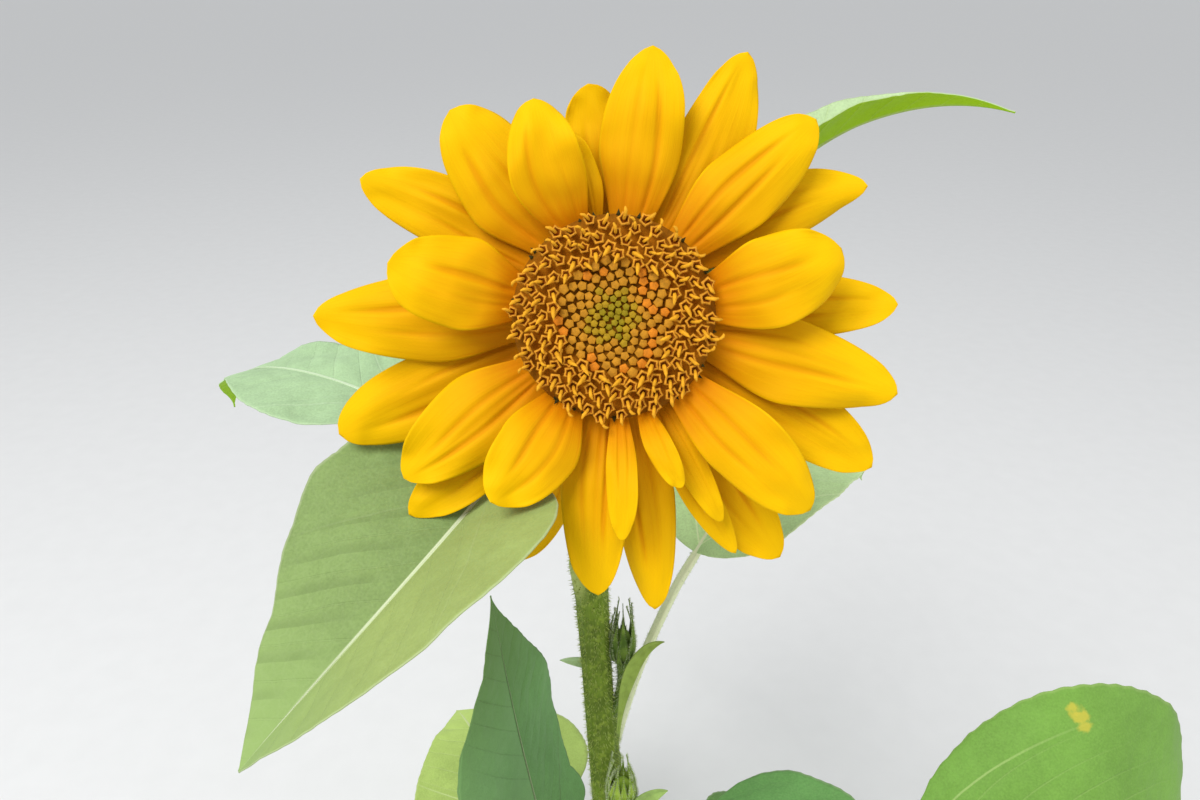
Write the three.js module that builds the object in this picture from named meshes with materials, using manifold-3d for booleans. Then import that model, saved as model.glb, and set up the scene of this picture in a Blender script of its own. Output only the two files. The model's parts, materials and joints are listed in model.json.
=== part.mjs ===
// A garden sunflower rooted in the ground: one stout stem, broad stalked leaves and one open bloom.
// Millimetres and degrees. +Z is up, the origin is at the foot of the stem, and the bloom faces -Y.
import * as THREE from "three";
import { mergeVertices } from "three/addons/utils/BufferGeometryUtils.js";
import Module from "manifold-3d";

const wasm = await Module();
wasm.setup();
const { degToRad, lerp, clamp, smoothstep } = THREE.MathUtils;

// Clearance between pieces that touch.
const GAP = 0.3;

// Stem: centres from below the ground to inside the bloom's head, and the radius along it.
const STEM_ROUTE = [
  [0, 0, -12],
  [0, 0, 0],
  [-6.5, 0.5, 120],
  [-13.6, 2, 259],
  [-19.6, 5, 378],
  [-20.5, 8, 450],
  [-18.5, 9.5, 480],
  [-15.6, 3.5, 499],
  [-12.3, -9.5, 508.6],
  [-12.2, -20, 512.4],
];
const STEM_RADII = [
  [0, 12.5],
  [0.02, 10.6],
  [0.06, 8.6],
  [0.2, 7.4],
  [0.5, 6.5],
  [0.72, 6.5],
  [0.83, 7],
  [1, 8.2],
];
const STEM_SIDES = 12;
const STEM_STEPS = 28;

// Bloom: the middle of its disc, how far it faces up, and the sizes of its head.
const BLOOM_CENTRE = new THREE.Vector3(-12.2, -41.8, 520);
const BLOOM_TILT = 20;
const HEAD_RADIUS = 31;
const HEAD_DEPTH = 33;
const HEAD_SIDES = 24;

// Ray petals, anticlockwise from the right: where the tip lies round the disc and how far out, the
// half width, the whorl from 0 at the back to 3 in front, how far round the root lies from the tip,
// and how far the tip bends back from its whorl.
const RAYS = [
  { tip: 2.5, reach: 88.6, half: 10.5, whorl: 1, lean: 1 },
  { tip: 16.9, reach: 70, half: 14.4, whorl: 3, lean: -7 },
  { tip: 27.2, reach: 88, half: 9.5, whorl: 1, lean: 12 },
  { tip: 44.3, reach: 84.5, half: 12.3, whorl: 2, lean: 1 },
  { tip: 63.1, reach: 90, half: 11.2, whorl: 1, lean: -3 },
  { tip: 81.9, reach: 80.8, half: 12.2, whorl: 2, lean: -2 },
  { tip: 96.4, reach: 71, half: 10.5, whorl: 1, lean: -2 },
  { tip: 103.6, reach: 56.5, half: 5, whorl: 2, lean: -2 },
  { tip: 110.4, reach: 67.8, half: 11.5, whorl: 3, lean: 5 },
  { tip: 128.6, reach: 78.6, half: 13.4, whorl: 2, lean: -1 },
  { tip: 151.6, reach: 88.8, half: 11.4, whorl: 1, lean: -5 },
  { tip: 166.5, reach: 68.2, half: 14.5, whorl: 3, lean: 2 },
  { tip: 179.8, reach: 94.2, half: 13.1, whorl: 1, lean: 3 },
  { tip: 203.2, reach: 98.7, half: 12.4, whorl: 0, lean: -3 },
  { tip: 217.4, reach: 82.4, half: 12.4, whorl: 2, lean: -1 },
  { tip: 223.9, reach: 91, half: 10.3, whorl: 1, lean: 4, back: -3 },
  { tip: 235.9, reach: 65.4, half: 12.9, whorl: 3, lean: 4, back: -4 },
  { tip: 248.9, reach: 91, half: 10, whorl: 0, lean: 3, back: 13 },
  { tip: 266.8, reach: 86.5, half: 11, whorl: 2, lean: -4 },
  { tip: 272, reach: 67.4, half: 5, whorl: 3, lean: 1 },
  { tip: 278.2, reach: 96.4, half: 9.6, whorl: 1, lean: 3 },
  { tip: 292, reach: 55, half: 4.5, whorl: 3, lean: -4 },
  { tip: 298, reach: 72.3, half: 5, whorl: 2, lean: 0 },
  { tip: 297.5, reach: 86, half: 6, whorl: 1, lean: -3 },
  { tip: 304.9, reach: 97.5, half: 12.3, whorl: 0, lean: -4 },
  { tip: 315.6, reach: 83.8, half: 12, whorl: 3, lean: -1 },
  { tip: 329.9, reach: 96, half: 12, whorl: 1, lean: 2 },
  { tip: 344.9, reach: 90, half: 12.5, whorl: 2, lean: 3 },
];
const RAY_THICKNESS = 0.9;
const RAY_ROOT_HALF = 3.2;
const RAY_TIP_HALF = 0.6;
const RAY_CUP = 0.14;
const RAY_ROLL = 5;
// For each whorl: how far in front of the disc's foot its petals root, bow and end.
const WHORLS = [
  { root: -10.5, bow: 0, tip: -15 },
  { root: -7, bow: 1, tip: -6 },
  { root: -3.4, bow: 3, tip: 3 },
  { root: 0.6, bow: 6, tip: 11 },
];

// Rows of green bracts behind the petals, from the front row to the back one.
const BRACT_ROWS = [
  { count: 14, start: 0, root: 25, rootZ: -16.5, reach: 54, tipZ: -27, half: 6.2 },
  { count: 12, start: 12, root: 20, rootZ: -22, reach: 46, tipZ: -38, half: 5.6 },
];
const BRACT_THICKNESS = 1.1;

// Disc florets on a spiral: short closed ones in the middle, tall open ones round the rim.
const DISC_RADIUS = 30.7;
const FLORETS = 92;
const FLORET_RING = 28.2;
const FLORET_FOOT = 1.9;
const GOLDEN_ANGLE = 137.508;
const FLORET_CLOSED = { height: 1.4, radius: 1.1, lean: 0 };
const FLORET_OPEN = { height: 4.6, radius: 0.8, lean: 14 };

// Leaves from the top down: the height of the joint, which way the leaf heads (0 is +X, 90 is +Y) and
// how far that turns along the blade, its stalk, blade and width, the slopes above level at the stem,
// at the foot of the blade and at its tip, how far the halves fold up and the blade rolls, and how
// its outline swells from the foot and tapers to the tip.
const LEAVES = [
  {
    name: "front_left", height: 438, heading: 239, turn: -30, stalk: 68, blade: 117, width: 98,
    slopes: [66, -17, -43], fold: 20, roll: 4, shape: [0.4, 1],
  },
  {
    name: "upper_right", height: 416, heading: 28, turn: -25, stalk: 110, blade: 144, width: 30,
    slopes: [68, 59, -14], fold: 42, roll: -6, shape: [0.55, 1.2],
  },
  {
    name: "side_left", height: 408, heading: 163, turn: -36, stalk: 87, blade: 142, width: 71,
    slopes: [39, 22, -45], fold: 1, roll: -1, shape: [0.55, 1.4],
  },
  {
    name: "back", height: 366, heading: 100, turn: 8, stalk: 70, blade: 150, width: 88,
    slopes: [60, 25, -50], fold: 8, roll: 0, shape: [0.55, 1.2],
  },
  {
    name: "side_right", height: 282, heading: 45, turn: -14, stalk: 106, blade: 143, width: 89,
    slopes: [70, 44, -51], fold: 16, roll: 6, shape: [0.55, 1.2],
  },
  {
    name: "low_front", height: 221, heading: -38, turn: 3, stalk: 64, blade: 135, width: 97,
    slopes: [69, 27, -56], fold: 9, roll: 4, shape: [0.55, 1.2],
  },
  {
    name: "low_right", height: 196, heading: -17, turn: 36, stalk: 153, blade: 170, width: 147,
    slopes: [36, 30, -87], fold: 20, roll: 30, shape: [0.9, 0.7],
  },
  {
    name: "low_front_left", height: 150, heading: 228, turn: 6, stalk: 74, blade: 150, width: 98,
    slopes: [62, 28, -44], fold: 8, roll: 0, shape: [0.55, 1.2],
  },
  {
    name: "low_left", height: 139, heading: 148, turn: -5, stalk: 55, blade: 173, width: 136,
    slopes: [23, 75, 82], fold: 0, roll: 19, shape: [0.9, 1.5],
  },
  {
    name: "back_left", height: 92, heading: 131, turn: -18, stalk: 102, blade: 116, width: 113,
    slopes: [36, 46, -38], fold: 0, roll: -8, shape: [0.55, 1.5],
  },
  {
    name: "low_back_right", height: 82, heading: 38, turn: 8, stalk: 82, blade: 142, width: 104,
    slopes: [42, 8, -30], fold: 8, roll: 0, shape: [0.55, 1.2],
  },
  {
    name: "low_back_left", height: 62, heading: 168, turn: -6, stalk: 80, blade: 140, width: 100,
    slopes: [40, 10, -30], fold: 8, roll: 0, shape: [0.55, 1.2],
  },
];
// Shares of the blade's length: the stalk's radius at the blade, and the blade's thickness.
const STALK_SHARE = 0.016;
const BLADE_SHARE = 0.011;
const STALK_SIDES = 6;
const STALK_STEPS = 8;
const MIDRIB_STEPS = 48;

// Side shoots: height of the joint, the way it heads, how far out and up its bud stands, the bud's
// radius and half height, and its bracts.
const SHOOTS = [
  {
    name: "bud_upper", height: 306, heading: 0, out: 11.5, top: 351,
    radius: 4.6, tall: 9, bracts: 7, reach: 31,
  },
  {
    name: "bud_lower", height: 252, heading: -60, out: 16, top: 278,
    radius: 5.4, tall: 9, bracts: 9, reach: 28,
  },
];
const SHOOT_RADIUS = 1.7;

// Rows and lengthwise lines of the thin sheets, from -1 at the right margin to 1 at the left.
const BLADE_ROWS = 11;
const BLADE_LINES = [-1, -0.55, -0.07, 0.07, 0.55, 1];
const RAY_ROWS = 6;
const RAY_LINES = [-1, -0.5, 0, 0.5, 1];
const BRACT_SHEET_ROWS = 4;
const BRACT_LINES = [-1, 0, 1];

const COLOURS = {
  stem: "#7d9450",
  stalk: "#a9bf7a",
  blade: "#7fa35a",
  head: "#6f9146",
  disc: "#b87a14",
  ray: "#f7b500",
  bud: "#7fa352",
};

// Directions, profiles and solids that every section uses.

function direction(heading, slope) {
  const h = degToRad(heading);
  const s = degToRad(slope);
  return new THREE.Vector3(Math.cos(s) * Math.cos(h), Math.cos(s) * Math.sin(h), Math.sin(s));
}

function polar(radius, angle, z) {
  return new THREE.Vector3(radius * Math.cos(degToRad(angle)), radius * Math.sin(degToRad(angle)), z);
}

// Reads a value between the pairs of a short profile.
function profileAt(profile, share) {
  const next = Math.max(1, profile.findIndex(([at]) => at >= share));
  const [from, low] = profile[next - 1];
  const [to, high] = profile[next];
  return lerp(low, high, clamp((share - from) / (to - from), 0, 1));
}

// Points of a route whose heading and slope change evenly along its length.
function archPoints(start, heading, turn, slopeFrom, slopeTo, length, steps) {
  const points = [start.clone()];
  for (let i = 0; i < steps; i++) {
    const share = (i + 0.5) / steps;
    const step = direction(heading + turn * share, lerp(slopeFrom, slopeTo, share));
    points.push(points[i].clone().addScaledVector(step, length / steps));
  }
  return points;
}

function closedGeometry(positions, index) {
  const geometry = new THREE.BufferGeometry();
  geometry.setAttribute("position", new THREE.Float32BufferAttribute(positions, 3));
  geometry.setIndex(index);
  return geometry;
}

function latheGeometry(profile) {
  const points = profile.map(([radius, z]) => new THREE.Vector2(radius, z));
  return new THREE.LatheGeometry(points, HEAD_SIDES).rotateX(Math.PI / 2);
}

// A limb of changing radius along a curve, closed by a flat face at each end.
function limbGeometry(curve, radiusAt, sides, steps) {
  const frames = curve.computeFrenetFrames(steps, false);
  const positions = [];
  const index = [];
  for (let i = 0; i <= steps; i++) {
    const centre = curve.getPointAt(i / steps);
    const radius = radiusAt(i / steps);
    for (let k = 0; k < sides; k++) {
      const angle = (2 * Math.PI * k) / sides;
      const point = centre.clone();
      point.addScaledVector(frames.normals[i], radius * Math.cos(angle));
      point.addScaledVector(frames.binormals[i], radius * Math.sin(angle));
      positions.push(...point.toArray());
    }
  }
  positions.push(...curve.getPointAt(0).toArray(), ...curve.getPointAt(1).toArray());
  const startCentre = sides * (steps + 1);
  const endCentre = startCentre + 1;
  for (let k = 0; k < sides; k++) {
    const next = (k + 1) % sides;
    index.push(startCentre, next, k);
    index.push(endCentre, steps * sides + k, steps * sides + next);
    for (let i = 0; i < steps; i++) {
      const a = i * sides + k;
      const b = i * sides + next;
      index.push(a, b, b + sides, a, b + sides, a + sides);
    }
  }
  return closedGeometry(positions, index);
}

// A thin closed sheet: place(along, across) gives a point of its middle surface, the way that its
// upper face looks and its thickness there.
function sheetGeometry(rows, lines, place) {
  const columns = lines.length - 1;
  const geometry = new THREE.BoxGeometry(1, 1, 1, columns, rows, 1);
  const position = geometry.attributes.position;
  for (let i = 0; i < position.count; i++) {
    const across = lines[Math.round((0.5 - position.getX(i)) * columns)];
    const { point, normal, thickness } = place(position.getY(i) + 0.5, across);
    point.addScaledVector(normal, position.getZ(i) * thickness);
    position.setXYZ(i, point.x, point.y, point.z);
  }
  return mergedPositions(geometry);
}

function mergedPositions(geometry) {
  const bare = geometry.clone();
  bare.deleteAttribute("normal");
  bare.deleteAttribute("uv");
  return mergeVertices(bare, 1e-3);
}

function toSolid(geometry) {
  const merged = mergedPositions(geometry);
  const vertProperties = new Float32Array(merged.attributes.position.array);
  const triVerts = new Uint32Array(merged.index.array);
  return new wasm.Manifold(new wasm.Mesh({ numProp: 3, vertProperties, triVerts }));
}

function toGeometry(solid) {
  const mesh = solid.getMesh();
  return closedGeometry(Array.from(mesh.vertProperties), Array.from(mesh.triVerts));
}

function namedMesh(name, geometry, colour, roughness) {
  geometry.computeVertexNormals();
  const material = new THREE.MeshStandardMaterial({ color: colour, roughness, metalness: 0 });
  const mesh = new THREE.Mesh(geometry, material);
  mesh.name = name;
  return mesh;
}

// Stem, cut flat at the ground and where it meets the back of the head.

const stemCurve = new THREE.CatmullRomCurve3(STEM_ROUTE.map((p) => new THREE.Vector3(...p)));
const stemSamples = stemCurve.getSpacedPoints(400);

function stemCentreAt(height) {
  return stemSamples.find((point) => point.z >= height).clone();
}

function stemSolid(clearance) {
  const radiusAt = (share) => profileAt(STEM_RADII, share) + clearance;
  return toSolid(limbGeometry(stemCurve, radiusAt, STEM_SIDES, STEM_STEPS));
}

const bloomFrame = new THREE.Matrix4()
  .makeRotationX(degToRad(90 - BLOOM_TILT))
  .setPosition(BLOOM_CENTRE);

function makeStem() {
  const block = 80;
  const underground = new THREE.BoxGeometry(block, block, block).translate(0, 0, -block / 2);
  const head = new THREE.BoxGeometry(block, block, block);
  head.translate(0, 0, block / 2 - HEAD_DEPTH - GAP).applyMatrix4(bloomFrame);
  const stem = stemSolid(0).subtract(toSolid(underground)).subtract(toSolid(head));
  return namedMesh("stem", toGeometry(stem), COLOURS.stem, 0.7);
}

const stemWithClearance = stemSolid(GAP);

// Leaves: a tapering stalk from the stem, then a blade with its midrib.

// Half width of a blade as a share of its widest.
function leafShape([swell, taper], share) {
  const widest = swell / (swell + taper);
  return Math.pow(share / widest, swell) * Math.pow((1 - share) / (1 - widest), taper);
}

// The ways that the blade's left half and its upper face look at one place of the midrib.
function bladeFrame(leaf, share) {
  const heading = leaf.heading + leaf.turn * share;
  const along = direction(heading, lerp(leaf.slopes[1], leaf.slopes[2], share));
  const left = new THREE.Vector3(0, 0, 1).cross(direction(heading, 0));
  const up = along.clone().cross(left);
  const roll = degToRad(leaf.roll * smoothstep(share, -0.15, 0.4));
  return {
    side: left.clone().multiplyScalar(Math.cos(roll)).addScaledVector(up, Math.sin(roll)),
    normal: up.clone().multiplyScalar(Math.cos(roll)).addScaledVector(left, -Math.sin(roll)),
  };
}

function bladeGeometry(leaf, midribCurve, stalkTip) {
  const fold = degToRad(leaf.fold);
  return sheetGeometry(BLADE_ROWS, BLADE_LINES, (row, across) => {
    const share = Math.pow(row, 1.25);
    const { side, normal } = bladeFrame(leaf, share);
    const onMidrib = Math.abs(across) < 0.1;
    const rib = lerp(stalkTip, 0.4 * stalkTip, share);
    const reach = Math.max(1.1 * rib, (leaf.width / 2) * leafShape(leaf.shape, share));
    const half = onMidrib ? Math.sign(across) * 0.8 * rib : across * reach;
    const point = midribCurve.getPoint(share);
    point.addScaledVector(side, half * Math.cos(fold));
    point.addScaledVector(normal, Math.abs(half) * Math.sin(fold) - (onMidrib ? 0.3 * rib : 0));
    return { point, normal, thickness: onMidrib ? 1.5 * rib : BLADE_SHARE * leaf.blade };
  });
}

function makeLeaf(leaf) {
  const { heading, turn } = leaf;
  const [atStem, atBlade, atTip] = leaf.slopes;
  const stalkTip = STALK_SHARE * leaf.blade;
  const stalkRadius = (share) => lerp(1.5 * stalkTip, stalkTip, smoothstep(share, 0, 0.5));
  const start = stemCentreAt(leaf.height).addScaledVector(direction(heading, 0), 3);
  const stalkPoints = archPoints(start, heading, 0, atStem, atBlade, leaf.stalk, STALK_STEPS);
  const stalkCurve = new THREE.CatmullRomCurve3(stalkPoints);
  const stalk = toSolid(limbGeometry(stalkCurve, stalkRadius, STALK_SIDES, STALK_STEPS));

  const foot = stalkPoints[STALK_STEPS].addScaledVector(direction(heading, atBlade), GAP + 0.05);
  const midrib = archPoints(foot, heading, turn, atBlade, atTip, leaf.blade, MIDRIB_STEPS);
  const blade = bladeGeometry(leaf, new THREE.CatmullRomCurve3(midrib), stalkTip);
  return [
    namedMesh("stalk_" + leaf.name, toGeometry(stalk.subtract(stemWithClearance)), COLOURS.stalk, 0.6),
    namedMesh("blade_" + leaf.name, blade, COLOURS.blade, 0.6),
  ];
}

// Bloom, in its own frame: +Z faces the viewer and +Y is up across the disc.

// Half width of a petal as a share of its widest.
function rayShape(share) {
  const swell = 0.26 + 0.74 * smoothstep(share, -0.08, 0.55);
  return swell * Math.pow(1 - Math.pow(share, 4.2), 0.64);
}

function makeRay(ray, number) {
  const { root: rootZ, bow, tip: whorlTipZ } = WHORLS[ray.whorl];
  const tipZ = whorlTipZ - (ray.back ?? 0);
  const root = polar(HEAD_RADIUS + GAP + 0.05, ray.tip + ray.lean, 0);
  const knee = polar((HEAD_RADIUS + ray.reach) / 2, ray.tip + ray.lean, 0);
  const plan = new THREE.QuadraticBezierCurve3(root, knee, polar(ray.reach, ray.tip, 0));
  const fullRoll = degToRad(RAY_ROLL * Math.sin(degToRad(7 * ray.tip)));
  const geometry = sheetGeometry(RAY_ROWS, RAY_LINES, (share, across) => {
    const narrowing = lerp(RAY_ROOT_HALF / ray.half, 1, smoothstep(share, 0, 0.2));
    const half = Math.max(RAY_TIP_HALF, narrowing * ray.half * rayShape(share));
    const roll = fullRoll * smoothstep(share, 0, 0.6);
    const side = new THREE.Vector3(0, 0, 1).cross(plan.getTangent(share));
    const point = plan.getPoint(share).addScaledVector(side, half * across * Math.cos(roll));
    point.z = lerp(rootZ, tipZ, Math.pow(share, 1.2)) + bow * Math.sin(Math.PI * share);
    point.z += half * across * Math.sin(roll) - RAY_CUP * half * across * across;
    return { point, normal: new THREE.Vector3(0, 0, 1), thickness: RAY_THICKNESS };
  });
  return namedMesh("ray_" + String(number).padStart(2, "0"), geometry, COLOURS.ray, 0.5);
}

// A pointed bract round the Z axis from its root to its tip, bowed by sag at the middle.
function bractGeometry(root, tip, half, thickness, sag) {
  const path = new THREE.QuadraticBezierCurve3(root, root.clone().lerp(tip, 0.5).add(sag), tip);
  const side = new THREE.Vector3(-root.y, root.x, 0).normalize();
  return sheetGeometry(BRACT_SHEET_ROWS, BRACT_LINES, (share, across) => {
    const normal = path.getTangent(share).cross(side).normalize();
    const width = Math.max(0.35, half * Math.pow(1 - share, 0.8) * (0.75 + share));
    return { point: path.getPoint(share).addScaledVector(side, width * across), normal, thickness };
  });
}

function makeHead() {
  const bowl = latheGeometry([
    [0, -HEAD_DEPTH],
    [9, -HEAD_DEPTH],
    [14, -30],
    [22, -24],
    [28, -17.5],
    [HEAD_RADIUS, -13.5],
    [HEAD_RADIUS, -GAP],
    [0, -GAP],
  ]);
  let solid = toSolid(bowl);
  for (const row of BRACT_ROWS) {
    for (let i = 0; i < row.count; i++) {
      const angle = row.start + (360 * i) / row.count;
      const root = polar(row.root, angle, row.rootZ);
      const tip = polar(row.reach + 3 * Math.sin(2.4 * i), angle + 4 * Math.sin(1.7 * i), row.tipZ);
      const sag = new THREE.Vector3(0, 0, 2.5);
      solid = solid.add(toSolid(bractGeometry(root, tip, row.half, BRACT_THICKNESS, sag)));
    }
  }
  return namedMesh("head_with_bracts", toGeometry(solid), COLOURS.head, 0.65);
}

function makeDisc() {
  const cushion = latheGeometry([
    [0, 0],
    [DISC_RADIUS, 0],
    [DISC_RADIUS, 1.6],
    [28.6, 3.2],
    [20, 2.8],
    [12, 1.6],
    [0, 1.2],
  ]);
  const pieces = [toSolid(cushion)];
  for (let i = 0; i < FLORETS; i++) {
    const share = Math.pow((i + 0.5) / FLORETS, 0.56);
    const open = smoothstep(share, 0.52, 0.66);
    const radius = lerp(FLORET_CLOSED.radius, FLORET_OPEN.radius, open);
    const height = lerp(FLORET_CLOSED.height, FLORET_OPEN.height, open) + 2;
    const lean = lerp(FLORET_CLOSED.lean, FLORET_OPEN.lean, open) * share;
    const floret = new THREE.CylinderGeometry(radius, FLORET_FOOT, height, 5, 1);
    floret.rotateX(Math.PI / 2).translate(0, 0, height / 2).rotateY(degToRad(lean));
    floret.translate(FLORET_RING * share, 0, share).rotateZ(degToRad(GOLDEN_ANGLE * i));
    pieces.push(toSolid(floret));
  }
  return namedMesh("disc_of_florets", toGeometry(wasm.Manifold.union(pieces)), COLOURS.disc, 0.8);
}

// Side shoots: a short stalk, a closed bud and the narrow bracts round it.

function makeShoot(shoot) {
  const { height, heading, out, top, radius, tall } = shoot;
  const foot = stemCentreAt(height);
  const lean = stemCentreAt(top).x - foot.x;
  const start = foot.clone().addScaledVector(direction(heading, 0), 3);
  const aside = foot.clone().addScaledVector(direction(heading, 0), out);
  const bend = aside.clone().add(new THREE.Vector3(0, 0, 0.45 * (top - height)));
  const end = aside.clone().add(new THREE.Vector3(lean, 0, top - height));
  const route = new THREE.CatmullRomCurve3([start, bend, end]);
  const egg = new THREE.SphereGeometry(1, 8, 6).rotateX(Math.PI / 2);
  egg.scale(radius, radius, tall).translate(...end.toArray());
  let solid = toSolid(limbGeometry(route, () => SHOOT_RADIUS, 6, 6)).add(toSolid(egg));
  for (let i = 0; i < shoot.bracts; i++) {
    const angle = (360 * i) / shoot.bracts;
    const tipRadius = radius * (1.15 + 0.25 * Math.sin(2.3 * i));
    const tipHeight = shoot.reach * (0.8 + 0.2 * Math.cos(1.9 * i)) - tall;
    const root = polar(0.65 * radius, angle, -0.6 * tall);
    const sag = polar(0.9 * radius, angle, 0);
    const bract = bractGeometry(root, polar(tipRadius, angle, tipHeight), 0.42 * radius, 0.9, sag);
    solid = solid.add(toSolid(bract.translate(...end.toArray())));
  }
  return namedMesh(shoot.name, toGeometry(solid.subtract(stemWithClearance)), COLOURS.bud, 0.65);
}

// The whole plant.

const bloom = new THREE.Group();
bloom.position.copy(BLOOM_CENTRE);
bloom.rotation.x = degToRad(90 - BLOOM_TILT);
bloom.add(makeHead(), makeDisc(), ...RAYS.map((ray, i) => makeRay(ray, i + 1)));

const plant = new THREE.Group();
plant.add(makeStem(), bloom);
for (const leaf of LEAVES) plant.add(...makeLeaf(leaf));
for (const shoot of SHOOTS) plant.add(makeShoot(shoot));

export default plant;
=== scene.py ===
import json
import math
from functools import cache, partial

import bmesh
import bpy
import numpy as np
from mathutils import Matrix, Vector, noise
from mathutils.geometry import interpolate_bezier

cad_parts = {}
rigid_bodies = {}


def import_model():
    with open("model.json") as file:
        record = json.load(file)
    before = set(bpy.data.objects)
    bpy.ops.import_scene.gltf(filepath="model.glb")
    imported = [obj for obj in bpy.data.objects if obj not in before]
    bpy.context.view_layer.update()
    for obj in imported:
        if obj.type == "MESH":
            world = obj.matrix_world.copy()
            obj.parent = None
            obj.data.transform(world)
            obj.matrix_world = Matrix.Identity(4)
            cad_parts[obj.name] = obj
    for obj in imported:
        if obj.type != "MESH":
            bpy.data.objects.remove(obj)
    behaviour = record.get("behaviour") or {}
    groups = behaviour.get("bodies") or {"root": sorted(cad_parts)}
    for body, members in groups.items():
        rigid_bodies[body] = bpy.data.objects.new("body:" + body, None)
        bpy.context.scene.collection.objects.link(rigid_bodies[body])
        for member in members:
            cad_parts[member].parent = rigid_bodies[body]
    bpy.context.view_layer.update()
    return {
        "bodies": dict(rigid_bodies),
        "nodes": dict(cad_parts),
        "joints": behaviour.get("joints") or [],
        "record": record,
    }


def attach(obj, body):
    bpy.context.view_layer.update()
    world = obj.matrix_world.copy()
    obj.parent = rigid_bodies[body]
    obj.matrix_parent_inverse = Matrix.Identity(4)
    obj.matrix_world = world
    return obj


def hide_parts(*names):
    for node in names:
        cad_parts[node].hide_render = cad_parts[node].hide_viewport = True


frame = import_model()

# Stem: one stout green stem that leans a little and nods at its top, where it enters the head.
# It's pithy inside and finely ribbed outside, swells where leaves and shoots join it and ends in a
# flat cut at the ground that it's rooted in. Sizes here and below are in millimetres and degrees.

MM = 0.001
TURN = 2 * math.pi
WELD = 0.001
CURVE_POINTS = 33

STEM_ROUTE = [
    (0, 0, -12),
    (0, 0, 0),
    (-6.5, 0.5, 120),
    (-13.6, 2, 259),
    (-19.6, 5, 378),
    (-20.5, 8, 450),
    (-18.5, 9.5, 480),
    (-15.6, 3.5, 499),
    (-12.3, -9.5, 508.6),
    (-12.2, -20, 512.4),
]
STEM_RADII = [
    (0, 12.5),
    (0.02, 10.6),
    (0.06, 8.6),
    (0.2, 7.4),
    (0.5, 6.5),
    (0.72, 6.5),
    (0.83, 7),
    (1, 8.2),
]
STEM_RIBS = 14
RIB_HEIGHT = 0.16
RIB_WANDER = 2
RIB_WANDER_RATE = 9
RISING_TO = 499
JOINT_SWELLING = 1.9
SWELLING_ABOVE = 5
SWELLING_BELOW = 18
BLOOM_CENTRE = (-12.2, -41.8, 520)
BLOOM_TILT = 20
HEAD_DEPTH = 33
JOINTS = {
    438: 239, 416: 28, 408: 163, 392: 172, 366: 100, 306: 0, 282: 45, 252: -60, 221: -38,
    196: -17, 150: 228, 139: 148, 92: 131, 82: 38, 62: 168,
}


def smoothstep(value, low, high):
    """0 below low, 1 above high and an even S between them."""
    share = min(max((value - low) / (high - low), 0), 1)
    return share * share * (3 - 2 * share)


def blend(low, high, share):
    return low + (high - low) * share


def smooth_curve(knots):
    """Close points of the centripetal Catmull-Rom curve through the knots."""
    knots = [Vector(knot) for knot in knots]
    knots = [2 * knots[0] - knots[1], *knots, 2 * knots[-1] - knots[-2]]
    points = []
    for a, b, c, d in zip(knots, knots[1:], knots[2:], knots[3:]):
        ab, bc, cd = (math.sqrt((q - p).length) for p, q in ((a, b), (b, c), (c, d)))
        leaving = (c - b) + bc * ((b - a) / ab - (c - a) / (ab + bc))
        arriving = (c - b) + bc * ((d - c) / cd - (d - b) / (bc + cd))
        points += interpolate_bezier(b, b + leaving / 3, c - arriving / 3, c, CURVE_POINTS)[:-1]
    return [*points, knots[-2]]


class Route:
    """A path through close points, read by its share of the whole length."""

    def __init__(self, points):
        self.points = np.array(points, float)
        steps = np.linalg.norm(np.diff(self.points, axis=0), axis=1)
        self.reaches = np.concatenate(([0], np.cumsum(steps)))
        self.length = self.reaches[-1]

    def at(self, share):
        reach = share * self.length
        return Vector([np.interp(reach, self.reaches, axis) for axis in self.points.T])

    def ahead(self, share):
        return (self.at(min(share + 0.01, 1)) - self.at(max(share - 0.01, 0))).normalized()


class Limb:
    """A round limb along a route. radius(share, turn) is its radius at a share of its length and at a
    turn, in radians, round it from the side way, which is a way that the route never heads."""

    def __init__(self, points, side, radius):
        self.route = Route(points)
        self.side = Vector(side)
        self.radius = radius

    @cache
    def frame(self, share):
        ahead = self.route.ahead(share)
        across = (self.side - ahead * self.side.dot(ahead)).normalized()
        return self.route.at(share), across, ahead.cross(across), ahead

    def skin(self, share, turn):
        """The point of the skin there and the way out of it."""
        centre, across, up, _ = self.frame(share)
        outward = across * math.cos(turn) + up * math.sin(turn)
        return centre + outward * self.radius(share, turn), outward

    def mesh(self, sides, steps):
        bm = bmesh.new()
        bm.loops.layers.uv.new("skin")
        bmesh.ops.create_grid(bm, x_segments=sides, y_segments=steps, size=0.5, calc_uvs=True)
        for vert in bm.verts:
            vert.co = self.skin(vert.co.y + 0.5, TURN * (vert.co.x + 0.5))[0]
        bmesh.ops.remove_doubles(bm, verts=bm.verts, dist=WELD)
        bmesh.ops.holes_fill(bm, edges=bm.edges)
        bmesh.ops.recalc_face_normals(bm, faces=bm.faces)
        return bm


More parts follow.
